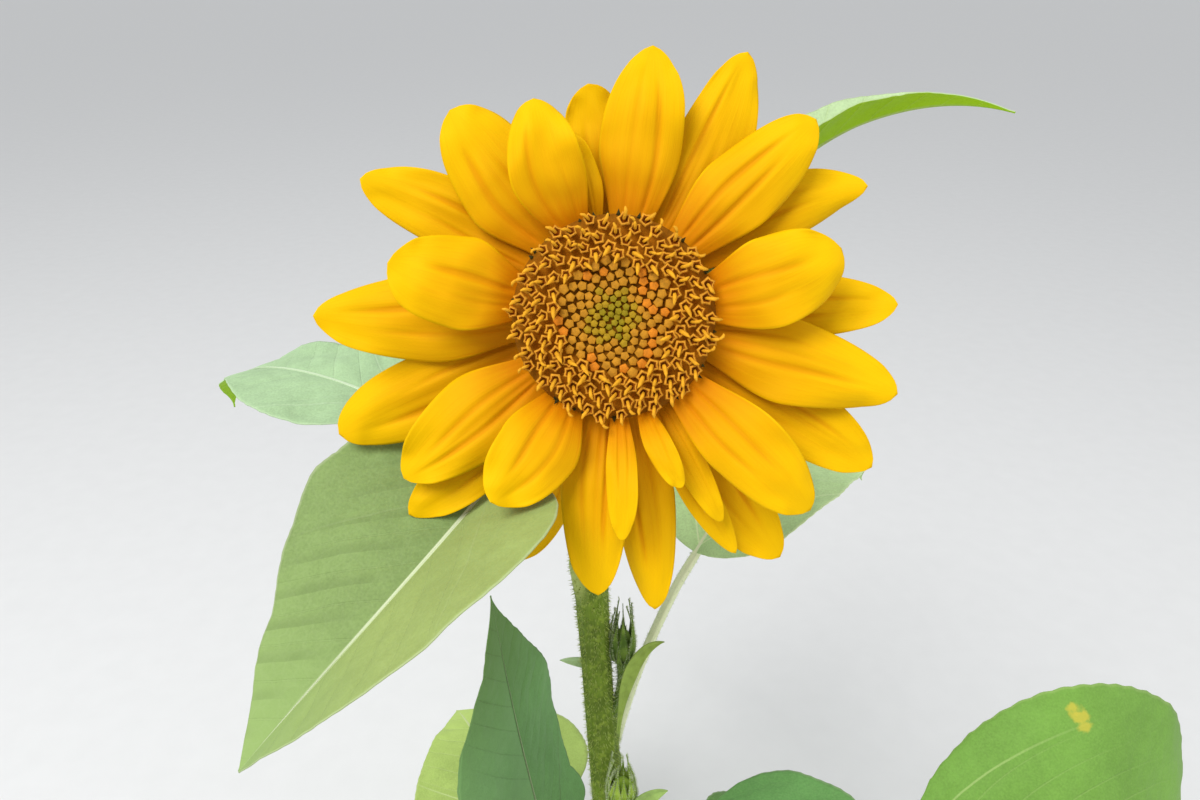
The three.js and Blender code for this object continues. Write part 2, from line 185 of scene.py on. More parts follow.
class Wire:
    """An output of a shader node. Arithmetic on it adds Math nodes to its material."""

    def __init__(self, tree, socket=None):
        self.tree = tree
        self.socket = socket

    def node(self, kind, inputs=None, output=0, **settings):
        """Adds a node with these settings and inputs, and gives the wire out of it."""
        made = self.tree.nodes.new(kind)
        for name, value in settings.items():
            setattr(made, name, value)
        for key, value in (inputs or {}).items():
            if isinstance(value, Wire):
                self.tree.links.new(value.socket, made.inputs[key])
            else:
                made.inputs[key].default_value = value
        return Wire(self.tree, made.outputs[output])

    def sum(self, operation, *values):
        return self.node("ShaderNodeMath", dict(enumerate(values)), operation=operation)

    def __add__(self, other):
        return self.sum("ADD", self, other)

    def __sub__(self, other):
        return self.sum("SUBTRACT", self, other)

    def __mul__(self, other):
        return self.sum("MULTIPLY", self, other)

    def __truediv__(self, other):
        return self.sum("DIVIDE", self, other)

    def __rsub__(self, other):
        return self.sum("SUBTRACT", other, self)

    def __pow__(self, other):
        return self.sum("POWER", self, other)

    def __mod__(self, other):
        return self.sum("FLOORED_MODULO", self, other)

    def __abs__(self):
        return self.sum("ABSOLUTE", self)

    __radd__ = __add__
    __rmul__ = __mul__

    def over(self, low, high):
        """A smooth step: 0 where the wire is low, 1 where it's high."""
        limits = {"Value": self, "From Min": low, "From Max": high}
        return self.node("ShaderNodeMapRange", limits, interpolation_type="SMOOTHSTEP")

    def tint(self, low, high):
        """The colour low where the wire is 0 and high where it's 1."""
        low, high = (end if isinstance(end, Wire) else (*end, 1) for end in (low, high))
        return self.node("ShaderNodeMix", {0: self, 6: low, 7: high}, output=2, data_type="RGBA")

    def even_tint(self, low, high):
        """The colours from low to high that a noise runs through, with more of both ends."""
        return self.over(0.3, 0.7).tint(low, high)

    def noise(self, place, scale, detail=3.0):
        inputs = {"Vector": place, "Scale": scale, "Detail": detail}
        return self.node("ShaderNodeTexNoise", inputs)

    def relief(self, distance, strength=1.0):
        """The bumped normals of a surface that stands as high as the wire says."""
        inputs = {"Height": self, "Distance": distance, "Strength": strength}
        return self.node("ShaderNodeBump", inputs)


def new_material(name, **finish):
    """A material with these values on its shader's sockets, the shader node, and the wire that its
    patterns start from."""
    material = bpy.data.materials.new(name)
    material.use_nodes = True
    shader = material.node_tree.nodes["Principled BSDF"]
    for key, value in finish.items():
        shader.inputs[key.replace("_", " ")].default_value = value
    return material, shader, Wire(material.node_tree)


def feed(shader, key, wire):
    wire.tree.links.new(wire.socket, shader.inputs[key])


def add_piece(name, bm, materials, slot, *nodes):
    """Makes a piece of the plant from a bmesh in millimetres, in place of the nodes."""
    bmesh.ops.scale(bm, vec=(MM, MM, MM), verts=bm.verts)
    mesh = bpy.data.meshes.new(name)
    bm.to_mesh(mesh)
    bm.free()
    return place_piece(name, mesh, materials, slot, *nodes)


def place_piece(name, mesh, materials, slot, *nodes):
    mesh.shade_smooth()
    for material in materials:
        mesh.materials.append(material)
    piece = bpy.data.objects.new(name, mesh)
    bpy.context.scene.collection.objects.link(piece)
    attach(piece, "root")
    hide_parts(*nodes)
    return piece


def cut(bm, place, way):
    """Cuts off what lies beyond the plane at the place that faces the way."""
    everything = bm.verts[:] + bm.edges[:] + bm.faces[:]
    bmesh.ops.bisect_plane(bm, geom=everything, plane_co=place, plane_no=way, clear_outer=True)


def stem_radius(share, turn):
    radius = float(np.interp(share, *zip(*STEM_RADII)))
    wander = RIB_WANDER * math.sin(RIB_WANDER_RATE * share)
    radius += RIB_HEIGHT * math.cos(STEM_RIBS * turn + wander)
    height = stem_height(share)
    for joint, heading in JOINTS.items():
        reach = SWELLING_ABOVE if height > joint else SWELLING_BELOW
        near = math.exp(-(((height - joint) / reach) ** 2))
        radius += JOINT_SWELLING * near * max(0, math.cos(turn - math.radians(heading)))
    return radius


@cache
def stem_height(share):
    return stem.route.at(share).z


def stem_at(height):
    """The centre of the stem at a height, on its lower part."""
    rising = stem.route.points[: np.argmax(stem.route.points[:, 2] >= RISING_TO)]
    return Vector([np.interp(height, rising[:, 2], axis) for axis in rising.T])


stem = Limb(smooth_curve(STEM_ROUTE), (1, 0, 0), stem_radius)
bloom_turn = Matrix.Rotation(math.radians(90 - BLOOM_TILT), 4, "X")
bloom_frame = Matrix.Translation(BLOOM_CENTRE) @ bloom_turn
bloom_front = bloom_frame.to_3x3() @ Vector((0, 0, 1))

stem_skin, stem_shader, start = new_material(
    "ribbed green stem", Roughness=0.6, Specular_IOR_Level=0.25, Sheen_Weight=0.06
)
object_place = start.node("ShaderNodeTexCoord", output="Object")
skin_place = start.node("ShaderNodeUVMap", uv_map="skin")
streak_place = start.node("ShaderNodeMapping", {"Vector": skin_place, "Scale": (60, 4, 1)})
streaks = start.noise(streak_place, 1.0)
mottle = start.noise(object_place, 90.0)
blotches = start.noise(object_place, 420.0)
green = mottle.even_tint((0.085, 0.135, 0.005), (0.15, 0.235, 0.012))
green = (streaks.over(0.35, 0.75) * 0.2).tint(green, (0.26, 0.36, 0.04))
green = (blotches.over(0.48, 0.68) * 0.5).tint(green, (0.33, 0.43, 0.05))
height = start.node("ShaderNodeSeparateXYZ", {"Vector": object_place}, output=2)
sideways = start.node("ShaderNodeSeparateXYZ", {"Vector": object_place}, output=0)
pale_sheath = height.over(0.372, 0.386) * height.over(0.402, 0.392) * sideways.over(-0.02, -0.026)
feed(stem_shader, "Base Color", (pale_sheath * 0.75).tint(green, (0.5, 0.58, 0.16)))
feed(stem_shader, "Normal", (streaks * 0.5 + blotches * 0.5).relief(0.0005))

bm = stem.mesh(72, 260)
cut(bm, (0, 0, 0), (0, 0, -1))
cut(bm, Vector(BLOOM_CENTRE) - bloom_front * (HEAD_DEPTH - 1), bloom_front)
bmesh.ops.holes_fill(bm, edges=bm.edges)
add_piece("ribbed_stem", bm, [stem_skin], "stem", "stem")

# Bristles of the stem: stiff yellow green hairs, one to two and a half millimetres long, that grow
# out of its skin all over and droop a little. Each is a three-sided spike, and all are one mesh.

BRISTLES = 9000
BRISTLE_LENGTH = 2.4
BRISTLE_GIRTH = 0.19
HAIR_GIRTH = 0.11
HAIR_SINK = 0.15


def speckled_material(name, colour, roughness, scale):
    """A matt material whose colour runs a little deeper and a little paler from place to place."""
    material, shader, start = new_material(name, Roughness=roughness, Specular_IOR_Level=0.1)
    place = start.node("ShaderNodeTexCoord", output="Object")
    patches = start.noise(place, scale)
    fine = start.noise(place, 4 * scale)
    deep, pale = Vector(colour) * 0.78, Vector(colour) * 1.14
    feed(shader, "Base Color", (patches * 0.7 + fine * 0.3).even_tint(deep, pale))
    feed(shader, "Normal", fine.relief(0.0002, 0.6))
    return material


def repeated(name, template, frames, tints=None):
    """One mesh of the template bmesh at each of the frames, with each copy in its own tint."""
    corners = np.array([(*vert.co, 1) for vert in template.verts])
    template.verts.index_update()
    faces = np.array([[vert.index for vert in face.verts] for face in template.faces])
    shades = np.array([face.material_index for face in template.faces])
    template.free()
    places = np.einsum("nij,kj->nki", frames, corners)[..., :3].reshape(-1, 3)
    firsts = np.arange(len(frames)) * len(corners)
    all_faces = (firsts[:, None, None] + faces).reshape(-1, faces.shape[1])
    mesh = bpy.data.meshes.new(name)
    mesh.from_pydata(places * MM, [], all_faces.tolist())
    tints = np.zeros(len(frames), int) if tints is None else np.array(tints)
    mesh.polygons.foreach_set("material_index", (tints[:, None] + shades).ravel())
    return mesh


def spike(sides):
    """A spike one unit high on a foot of one unit's radius."""
    bm = bmesh.new()
    bmesh.ops.create_cone(
        bm, cap_ends=True, cap_tris=True, segments=sides, radius1=1, radius2=0, depth=1
    )
    bmesh.ops.translate(bm, vec=(0, 0, 0.5), verts=bm.verts)
    bmesh.ops.remove_doubles(bm, verts=bm.verts, dist=WELD)
    return bm


def upright_frame(root, way, size):
    """A frame whose Z axis runs from the root along the way."""
    turn = Vector(way).to_track_quat("Z", "Y").to_matrix().to_4x4()
    return Matrix.Translation(root) @ turn @ Matrix.Diagonal((*size, 1))


def add_bristles(name, hairs, material, slot, girth=HAIR_GIRTH):
    """Spikes as hairs, one for each (root, way, length) of the hairs."""
    frames = [upright_frame(root, way, (girth, girth, length)) for root, way, length in hairs]
    return place_piece(name, repeated(name, spike(3), np.array(frames)), [material], slot)


def limb_hairs(limb, count, low, high, longest, seed, droop=0):
    """Hairs set at random over the skin of a limb between two shares of its length."""
    dice = np.random.default_rng(seed)
    hairs = []
    for share, turn, size, bend in dice.random((count, 4)):
        share = round(blend(low, high, share), 3)
        root, outward = limb.skin(share, TURN * turn)
        ahead = limb.frame(share)[3]
        way = outward + ahead * (0.8 * (bend - 0.5) - droop)
        hairs.append((root - outward * HAIR_SINK, way, longest * (0.45 + 0.55 * size)))
    return hairs


bristle = speckled_material("pale bristle", (0.6, 0.68, 0.4), 0.6, 300)
stem_bristle = speckled_material("yellow green bristle", (0.5, 0.6, 0.17), 0.6, 300)
hairs = limb_hairs(stem, BRISTLES, 0.03, 0.965, BRISTLE_LENGTH, seed=1, droop=0.25)
add_bristles("stem_bristles", hairs, stem_bristle, "stem", BRISTLE_GIRTH)

# Leaves: each has a fleshy stalk, grooved above, that grows out of the stem and runs on under the
# blade as its midrib. The blade is a thin matt sheet, a little puckered, with faint veins and a
# finely toothed margin. Greens differ from leaf to leaf. Side profiles are (share, factor) pairs.

LEAVES = [
    {
        "name": "front_left", "height": 438, "heading": 239, "turn": -30, "stalk": 68, "blade": 117,
        "width": 98, "slopes": (66, -17, -43), "fold": 20, "roll": 4, "shape": (0.4, 1),
        "tooth": 0.25, "wave": 0.8, "green": (0.205, 0.295, 0.095), "rib": (0.6, 0.67, 0.42),
        # On front_left, left_green is painted light on one half of the folded blade, and the fold shade
        # weight is painted shade in the folds before the veins.
        "left_green": (0.3, 0.385, 0.115), "veins": 0.1, "fold_shade": 0.4, "rib_end": (0.88, 0.55),
        "right_side": ((0, 1.2), (0.1, 1.15), (0.2, 1.05), (0.3, 1.05), (0.5, 1), (1, 1)),
        "left_side": ((0, 1), (0.3, 0.97), (0.45, 0.92), (0.7, 0.94), (1, 1)),
    },
    {
        "name": "upper_right", "height": 416, "heading": 28, "turn": -25, "stalk": 110, "blade": 144,
        "width": 30, "slopes": (68, 59, -14), "fold": 42, "roll": -6, "shape": (0.55, 1.2),
        "tooth": 0.4, "wave": 0.8, "green": (0.42, 0.55, 0.3), "rib": (0.4, 0.52, 0.14),
        "under": (0.3, 0.51, 0.003),
    },
    {
        "name": "side_left", "height": 408, "heading": 163, "turn": -36, "stalk": 87, "blade": 142,
        "width": 71, "slopes": (39, 22, -45), "fold": 1, "roll": -1, "shape": (0.55, 1.4),
        "tooth": 0.5, "wave": 1.8, "curl": 45, "green": (0.37, 0.53, 0.29), "rib": (0.56, 0.69, 0.46),
        "under": (0.3, 0.5, 0.03), "veins": 0.5, "rib_size": 0.6,
        "right_side": ((0, 1), (0.6, 1), (0.72, 1.15), (0.85, 1.4), (0.93, 1.9), (1, 1)),
        "left_side": (
            (0, 1), (0.3, 1), (0.4, 0.93), (0.5, 0.86), (0.6, 0.76), (0.7, 0.66), (0.8, 0.66),
            (0.93, 1.6), (1, 1),
        ),
    },
    {
        "name": "back", "height": 366, "heading": 100, "turn": 8, "stalk": 70, "blade": 150,
        "width": 88, "slopes": (60, 25, -50), "fold": 8, "roll": 0, "shape": (0.55, 1.2),
        "tooth": 0.8, "wave": 2.4, "green": (0.21, 0.33, 0.1), "rib": (0.55, 0.62, 0.35),
    },
    {
        "name": "side_right", "height": 282, "heading": 45, "turn": -14, "stalk": 106, "blade": 143,
        "width": 89, "slopes": (70, 44, -51), "fold": 16, "roll": 6, "shape": (0.55, 1.2),
        # Painted light: this leaf's green and its nearly white rib, which its stalk takes too, are
        # raised to stand for sunlight on a leaf that the bloom shades.
        "tooth": 0.7, "wave": 2.2, "green": (0.54, 0.74, 0.34), "rib": (0.9, 0.94, 0.6),
    },
    {
        "name": "low_front", "height": 221, "heading": -38, "turn": 3, "stalk": 64, "blade": 135,
        "width": 97, "slopes": (69, 27, -56), "fold": 9, "roll": 4, "shape": (0.55, 1.2),
        "tooth": 0.5, "wave": 1.6, "green": (0.13, 0.3, 0.085), "rib": (0.45, 0.55, 0.3),
    },
    {
        "name": "low_right", "height": 196, "heading": -17, "turn": 36, "stalk": 153, "blade": 170,
        "width": 147, "slopes": (36, 30, -87), "fold": 20, "roll": 30, "shape": (0.9, 0.7),
        "tooth": 1.4, "wave": 2, "green": (0.165, 0.33, 0.055), "rib": (0.42, 0.56, 0.2),
        "patch": ((56.4, 62.8), (52.9, 65), (49.5, 67)),
    },
    {
        "name": "low_front_left", "height": 150, "heading": 228, "turn": 6, "stalk": 74, "blade": 150,
        "width": 98, "slopes": (62, 28, -44), "fold": 8, "roll": 0, "shape": (0.55, 1.2),
        "tooth": 0.9, "wave": 2.2, "green": (0.15, 0.29, 0.085), "rib": (0.5, 0.6, 0.32),
    },
    {
        "name": "low_left", "height": 139, "heading": 148, "turn": -5, "stalk": 55, "blade": 173,
        "width": 136, "slopes": (23, 75, 82), "fold": 0, "roll": 19, "shape": (0.9, 1.5),
        # Painted shade: this leaf's dark rib colour stands for the shade in the midrib's groove, and
        # its veins, net and margin are tinted towards it too.
        "tooth": 0.6, "wave": 1.4, "green": (0.17, 0.355, 0.115), "rib": (0.1, 0.13, 0.05),
        "left_green": (0.215, 0.42, 0.15), "tip_green": (0.14, 0.26, 0.07), "rib_end": (0.6, 0.48),
        "rib_size": 0.35, "stalk_green": (0.4, 0.52, 0.26),
        "right_side": (
            (0, 1.05), (0.1, 1.1), (0.2, 0.74), (0.3, 0.67), (0.4, 0.7), (0.6, 0.79), (0.8, 0.85),
            (1, 1),
        ),
        "left_side": (
            (0, 1), (0.3, 1.05), (0.5, 1.12), (0.6, 1.2), (0.7, 1.3), (0.8, 1.15), (0.92, 1), (1, 1),
        ),
    },
    {
        "name": "back_left", "height": 92, "heading": 131, "turn": -18, "stalk": 102, "blade": 116,
        "width": 113, "slopes": (36, 46, -38), "fold": 0, "roll": -8, "shape": (0.55, 1.5),
        "tooth": 0.6, "wave": 2, "green": (0.36, 0.48, 0.125), "rib": (0.6, 0.68, 0.35),
    },
    {
        "name": "low_back_right", "height": 82, "heading": 38, "turn": 8, "stalk": 82, "blade": 142,
        "width": 104, "slopes": (42, 8, -30), "fold": 8, "roll": 0, "shape": (0.55, 1.2),
        "tooth": 1, "wave": 2.4, "green": (0.14, 0.28, 0.08), "rib": (0.5, 0.6, 0.32),
    },
    {
        "name": "low_back_left", "height": 62, "heading": 168, "turn": -6, "stalk": 80, "blade": 140,
        "width": 100, "slopes": (40, 10, -30), "fold": 8, "roll": 0, "shape": (0.55, 1.2),
        "tooth": 1, "wave": 2.4, "green": (0.15, 0.3, 0.08), "rib": (0.5, 0.6, 0.32),
    },
]
STALK_SHARE = 0.016
STALK_GROOVE = 0.24
STALK_HAIRS_PER_MM = 9
STALK_HAIR_LENGTH = 1.3
STALK_STEPS = 16
MIDRIB_STEPS = 60
BLADE_THICKNESS = 0.45
BLADE_CROWDING = 1.15
CURL_FROM = 0.84
MARGIN_FROM = 0.86
VEIN_PITCH = 15
VEIN_SLANT = 0.85
VEIN_BEND = 0.004
VEIN_DEPTH = 0.4
FOOT_VEIN_SLANT = 1.25
FOOT_VEIN_START = 4
PAIR_LAG = 0.3
GROOVE_DEPTH = 0.6
GROOVE_WIDTH = 2.2
PUCKER_HEIGHT = 1.1
PUCKERS = 0.07
SMALL_PUCKERS = 0.22
RIPPLES = 1.7
SMALL_RIPPLES = 3.9
TEETH = 30
MEASURE = 100
LEAF_LOW = 0.8
LEAF_HIGH = 1.06
UNDER_LOW = 0.85
VEIN_PALENESS = 0.13
FOOT_VEIN_PALENESS = 0.45
MIDRIB_PALENESS = 0.8
NET_PALENESS = 0.02
MARGIN_PALENESS = 0.3
PATCH_YELLOW = (0.55, 0.46, 0.055)


def direction(heading, slope):
    heading, slope = math.radians(heading), math.radians(slope)
    level = math.cos(slope)
    return Vector((level * math.cos(heading), level * math.sin(heading), math.sin(slope)))


def blade_slope(leaf, share):
    """The slope of the blade at a share of its length. A curled tip bends down at the end."""
    even = blend(leaf["slopes"][1], leaf["slopes"][2], share)
    return even - leaf.get("curl", 0) * smoothstep(share, CURL_FROM, 1)


def arch(start, heading, turn, slope_at, length, steps):
    """Points of a route whose heading changes evenly and whose slope follows its share."""
    points = [Vector(start)]
    for i in range(steps):
        share = (i + 0.5) / steps
        way = direction(heading + turn * share, slope_at(share))
        points.append(points[-1] + way * (length / steps))
    return points


def sheet(columns, rows, place, thickness):
    """A thin closed sheet. place(across, along) gives a point of its upper face and its measures
    there, across running from -1 at the right margin to 1 at the left one, and along from 0 at
    the foot to 1 at the tip. Its underside takes the second material."""
    bm = bmesh.new()
    measures = bm.loops.layers.uv.new("measures")
    across_layer = bm.verts.layers.float.new("across")
    along_layer = bm.verts.layers.float.new("along")
    bmesh.ops.create_grid(bm, x_segments=columns, y_segments=rows, size=0.5)
    for vert in bm.verts:
        across, along = -2 * vert.co.x, vert.co.y + 0.5
        vert.co, measure = place(across, along)
        vert[across_layer], vert[along_layer] = across, along
        for loop in vert.link_loops:
            loop[measures].uv = measure
    bm.normal_update()
    under = bmesh.ops.solidify(bm, geom=bm.faces[:], thickness=thickness)
    for item in under["geom"]:
        if isinstance(item, bmesh.types.BMFace):
            item.material_index = 1
    return bm


def vein_turn(x, y):
    """Counts the side veins up the blade. They leave the midrib nearly in pairs and sweep ahead."""
    return (y - VEIN_SLANT * abs(x) - VEIN_BEND * x * x) / VEIN_PITCH + (PAIR_LAG if x > 0 else 0)


def leaf_shape(shape, share):
    """Half width of a blade as a share of its widest, from how it swells and how it tapers."""
    swell, taper = shape
    peak = swell / (swell + taper)
    return (share / peak) ** swell * ((1 - share) / (1 - peak)) ** taper


def blade_place(leaf, midrib):
    """The place function of a blade, for a sheet."""
    fold = math.radians(leaf["fold"])
    dice = np.random.default_rng(leaf["height"])
    phases = dice.random(4) * TURN

    @cache
    def row(along):
        share = along**BLADE_CROWDING
        heading = leaf["heading"] + leaf["turn"] * share
        ahead = direction(heading, blade_slope(leaf, share))
        left = Vector((0, 0, 1)).cross(direction(heading, 0))
        up = ahead.cross(left)
        roll = math.radians(leaf["roll"] * smoothstep(share, -0.15, 0.4))
        side = left * math.cos(roll) + up * math.sin(roll)
        normal = up * math.cos(roll) - left * math.sin(roll)
        half = max(0.35, leaf["width"] / 2 * leaf_shape(leaf["shape"], share))
        return share, midrib.at(share), side, normal, half

    def place(across, along):
        share, centre, side, normal, half = row(along)
        side_name = "left_side" if across > 0 else "right_side"
        if side_name in leaf:
            half *= float(np.interp(share, *zip(*leaf[side_name])))
        edge = smoothstep(abs(across), MARGIN_FROM, 1)
        teeth = leaf["tooth"] * ((share * TEETH + phases[0] * across) % 1 - 0.4) * edge
        x = across * half + math.copysign(teeth * smoothstep(half, 2, 12), across)
        y = share * leaf["blade"]
        vein = 1 - smoothstep(abs(vein_turn(x, y) % 1 - 0.5), 0, 0.2)
        inner = (1 - smoothstep(abs(across), 0.75, 1)) * smoothstep(abs(x), 1, 8)
        groove = GROOVE_DEPTH * (1 - smoothstep(share, 0.6, 0.95))
        lift = abs(x) * math.sin(fold) - groove * math.exp(-((x / GROOVE_WIDTH) ** 2))
        lift += VEIN_DEPTH * (0.45 - vein) * inner
        pucker = noise.noise(Vector((x, y, leaf["height"])) * PUCKERS)
        pucker += 0.35 * noise.noise(Vector((x, y, leaf["height"])) * SMALL_PUCKERS)
        lift += PUCKER_HEIGHT * pucker * smoothstep(abs(x), 2, 14)
        ripple = math.sin(TURN * RIPPLES * share + phases[1 if x > 0 else 2])
        ripple += 0.5 * math.sin(TURN * SMALL_RIPPLES * share + phases[3] * across)
        lift += leaf["wave"] * ripple * across * across * smoothstep(half, 5, 30)
        return centre + side * x * math.cos(fold) + normal * lift, (x / MEASURE, y / MEASURE)

    return place


def leaf_face_material(leaf, face, low, high):
    """The skin of one face of a leaf's blade, whose grain runs from low to high."""
    material, shader, start = new_material(
        f"{leaf['name']} leaf {face}", Roughness=0.62, Specular_IOR_Level=0.12, Sheen_Weight=0.03
    )
    green, rib = Vector(leaf["green"]), leaf["rib"]
    place = start.node("ShaderNodeTexCoord", output="Object")
    across = start.node("ShaderNodeAttribute", attribute_name="across", output="Fac")
    measures = {"Vector": start.node("ShaderNodeUVMap", uv_map="measures")}
    x = start.node("ShaderNodeSeparateXYZ", measures, output=0) * MEASURE
    y = start.node("ShaderNodeSeparateXYZ", measures, output=1) * MEASURE
    reach = abs(x)

    # Veins, the midrib, the margin and the net between them
    count = (y - reach * VEIN_SLANT - x * x * VEIN_BEND) / VEIN_PITCH
    count = count + (x.over(-0.01, 0.01) * PAIR_LAG)
    above_foot_vein = y - reach * FOOT_VEIN_SLANT - FOOT_VEIN_START
    side_vein = abs(count % 1 - 0.5).over(0.045, 0.012) * above_foot_vein.over(-1, 1)
    vein = side_vein * reach.over(60, 20)
    foot_vein = abs(above_foot_vein).over(1.0, 0.3) * y.over(80, 30)
    rib_end, rib_full = Vector(leaf.get("rib_end", (0.98, 0.6))) * leaf["blade"]
    midrib = reach.over(1.0, 0.45) * y.over(rib_end, rib_full)
    margin = abs(across).over(0.975, 0.995)
    net_inputs = {"Vector": place, "Scale": 230.0}
    net = start.node("ShaderNodeTexVoronoi", net_inputs, feature="DISTANCE_TO_EDGE").over(0, 0.14)

    # The grain of the green, which may differ on the left half (painted light on front_left), and
    # painted shade near the foot that runs paler towards the tip
    mottle = start.noise(place, 30.0)
    spots = start.noise(place, 170.0)
    fine = start.noise(place, 1100.0)
    speckle = (mottle * 0.4 + spots * 0.2 + fine * 0.4).over(0.33, 0.67)
    colour = speckle.tint(low, high)
    # On front_left the left half's own green is painted light: it stands for the two halves of the
    # folded blade being lit differently.
    if "left_green" in leaf:
        left_green = Vector(leaf["left_green"])
        colour = x.over(-0.3, 0.3).tint(colour, speckle.tint(left_green * 0.85, left_green))
    # Painted shade: by default the green runs a fifth paler towards the tip, so the foot looks shaded
    # by the bloom; a leaf's tip_green takes the place of that paler green.
    along_blade = y.over(leaf["blade"] * 0.45, leaf["blade"])
    colour = along_blade.tint(colour, leaf.get("tip_green", Vector(high) * 1.2))

    # Painted shade in the folds before the veins of the right half, then the paler veins and the yellow
    # patch
    on_right = (0.0 - x).over(2, 12) * (x + 46).over(0, 22)
    # Painted shade: a darker green band just before each side vein on the right half, where the puckers
    # fold.
    fold_shade_mask = (count % 1).over(0.5, 0.95) * on_right * mottle.over(0.3, 0.6)
    colour = (fold_shade_mask * leaf.get("fold_shade", 0.1)).tint(colour, green * 0.6)
    colour = (vein * VEIN_PALENESS * leaf.get("veins", 1)).tint(colour, rib)
    colour = (foot_vein * FOOT_VEIN_PALENESS * leaf.get("veins", 1)).tint(colour, rib)
    colour = ((1 - net) * NET_PALENESS).tint(colour, rib)
    colour = (margin * MARGIN_PALENESS).tint(colour, rib)
    for middle_x, middle_y in leaf.get("patch", ()):
        away = ((x - middle_x) ** 2.0 + (y - middle_y) ** 2.0) ** 0.5 + (spots - 0.5) * 7
        colour = (away.over(3.2, 1.4) * 0.7).tint(colour, PATCH_YELLOW)
    feed(shader, "Base Color", (midrib * MIDRIB_PALENESS).tint(colour, rib))
    depth = -1 if face == "upper" else 1
    height = (vein * 0.35 + foot_vein * 0.3) * depth + net * 0.08 + fine * 0.4 + spots * 0.5
    feed(shader, "Normal", height.relief(0.0005, 0.7))
    return material


def stalk_material(leaf):
    """The streaked skin of one leaf's stalk and midrib."""
    material, shader, start = new_material(
        f"{leaf['name']} leaf stalk", Roughness=0.55, Specular_IOR_Level=0.3, Sheen_Weight=0.1
    )
    skin_place = start.node("ShaderNodeUVMap", uv_map="skin")
    streak_place = start.node("ShaderNodeMapping", {"Vector": skin_place, "Scale": (14, 3, 1)})
    streaks = start.noise(streak_place, 1.0)
    stalk_green = Vector(leaf.get("stalk_green", leaf["rib"]))
    feed(shader, "Base Color", streaks.even_tint(stalk_green * 0.85, stalk_green))
    feed(shader, "Normal", streaks.relief(0.0004))
    return material


def add_leaf(leaf):
    """Adds a leaf's blade, and its stalk with the midrib, and gives the hairs of the stalk."""
    name, heading, length = leaf["name"], leaf["heading"], leaf["blade"]
    at_stem, at_blade = leaf["slopes"][:2]
    start = stem_at(leaf["height"]) + direction(heading, 0) * 3
    slope = partial(blend, at_stem, at_blade)
    stalk = arch(start, heading, 0, slope, leaf["stalk"], STALK_STEPS)
    slope = partial(blade_slope, leaf)
    midrib = arch(stalk[-1], heading, leaf["turn"], slope, length, MIDRIB_STEPS)

    green = Vector(leaf["green"])
    under = Vector(leaf.get("under", green * 0.8 + Vector((0.03, 0.05, 0.01))))
    skins = [
        leaf_face_material(leaf, "upper", green * LEAF_LOW, green * LEAF_HIGH),
        leaf_face_material(leaf, "under", under * UNDER_LOW, under),
    ]
    bm = sheet(44, 150, blade_place(leaf, Route(midrib)), BLADE_THICKNESS)
    add_piece("leaf_" + name, bm, skins, "leaf_blade", "blade_" + name)

    tip_radius = STALK_SHARE * length
    foot = leaf["stalk"] / (leaf["stalk"] + length)

    def radius(share, turn):
        base = blend(1.5 * tip_radius, tip_radius, smoothstep(share / foot, 0, 0.5))
        on_blade = smoothstep(share, foot - 0.02, 1)
        rib_size = blend(1, leaf.get("rib_size", 1), min(1, 5 * on_blade))
        taper = blend(1, 0.08, on_blade**0.45) * rib_size
        groove = STALK_GROOVE * math.exp(-(((turn - TURN / 4) / 0.55) ** 2))
        groove *= 1 - smoothstep(share, foot, foot + 0.1)
        return base * taper * (1 - groove)

    side = Vector((0, 0, 1)).cross(direction(heading, 0))
    run = []
    rib = Limb(stalk[:-1] + midrib, side, radius)
    for i in range(MIDRIB_STEPS + 1):
        share = i / MIDRIB_STEPS
        centre, _, up, _ = rib.frame(share)
        sunk = smoothstep(share, foot - 0.08, foot + 0.02)
        run.append(centre - up * 0.95 * radius(share, 0) * sunk)
    rib = Limb(run, side, radius)
    skins = [stalk_material(leaf)]
    add_piece("stalk_and_rib_" + name, rib.mesh(20, 110), skins, "leaf_stalk", "stalk_" + name)
    count = int(STALK_HAIRS_PER_MM * leaf["stalk"])
    return limb_hairs(rib, count, 0.02, foot, STALK_HAIR_LENGTH, seed=leaf["height"])


stalk_hairs = []
for leaf in LEAVES:
    stalk_hairs += add_leaf(leaf)
add_bristles("stalk_bristles", stalk_hairs, bristle, "leaf_stalk")

# Head: the green bowl behind the disc that carries the petals, with two rows of pointed bracts
# that curve away from it. Bowl and bracts are one fleshy piece on the plant, hairy at the margins.

HEAD_RADIUS = 31
BOWL_PROFILE = [
    (0, -33),
    (9, -33),
    (14, -30),
    (22, -24),
    (28, -17.5),
    (31, -13.5),
    (31, -0.3),
    (0, -0.3),
]
BRACT_ROWS = [
    {"count": 14, "start": 0, "root": 25, "root_z": -16.5, "reach": 54, "tip_z": -27, "half": 6.2},
    {"count": 12, "start": 12, "root": 20, "root_z": -22, "reach": 46, "tip_z": -38, "half": 5.6},
]
BRACT_THICKNESS = 0.8
BRACT_SAG = 2.5
BRACT_HAIRS = 60
BRACT_HAIR_LENGTH = 1.6
ROUND_STEPS = 72


def spun(profile, steps):
    """A closed round body about the Z axis from (radius, z) points that start and end on it."""
    bm = bmesh.new()
    points = [bm.verts.new((radius, 0, z)) for radius, z in profile]
    edges = [bm.edges.new(pair) for pair in zip(points, points[1:])]
    bmesh.ops.spin(
        bm, geom=points + edges, cent=(0, 0, 0), axis=(0, 0, 1), angle=TURN, steps=steps, use_merge=True
    )
    bmesh.ops.remove_doubles(bm, verts=bm.verts, dist=WELD)
    bmesh.ops.recalc_face_normals(bm, faces=bm.faces)
    return bm


def polar(radius, angle, z):
    angle = math.radians(angle)
    return Vector((radius * math.cos(angle), radius * math.sin(angle), z))


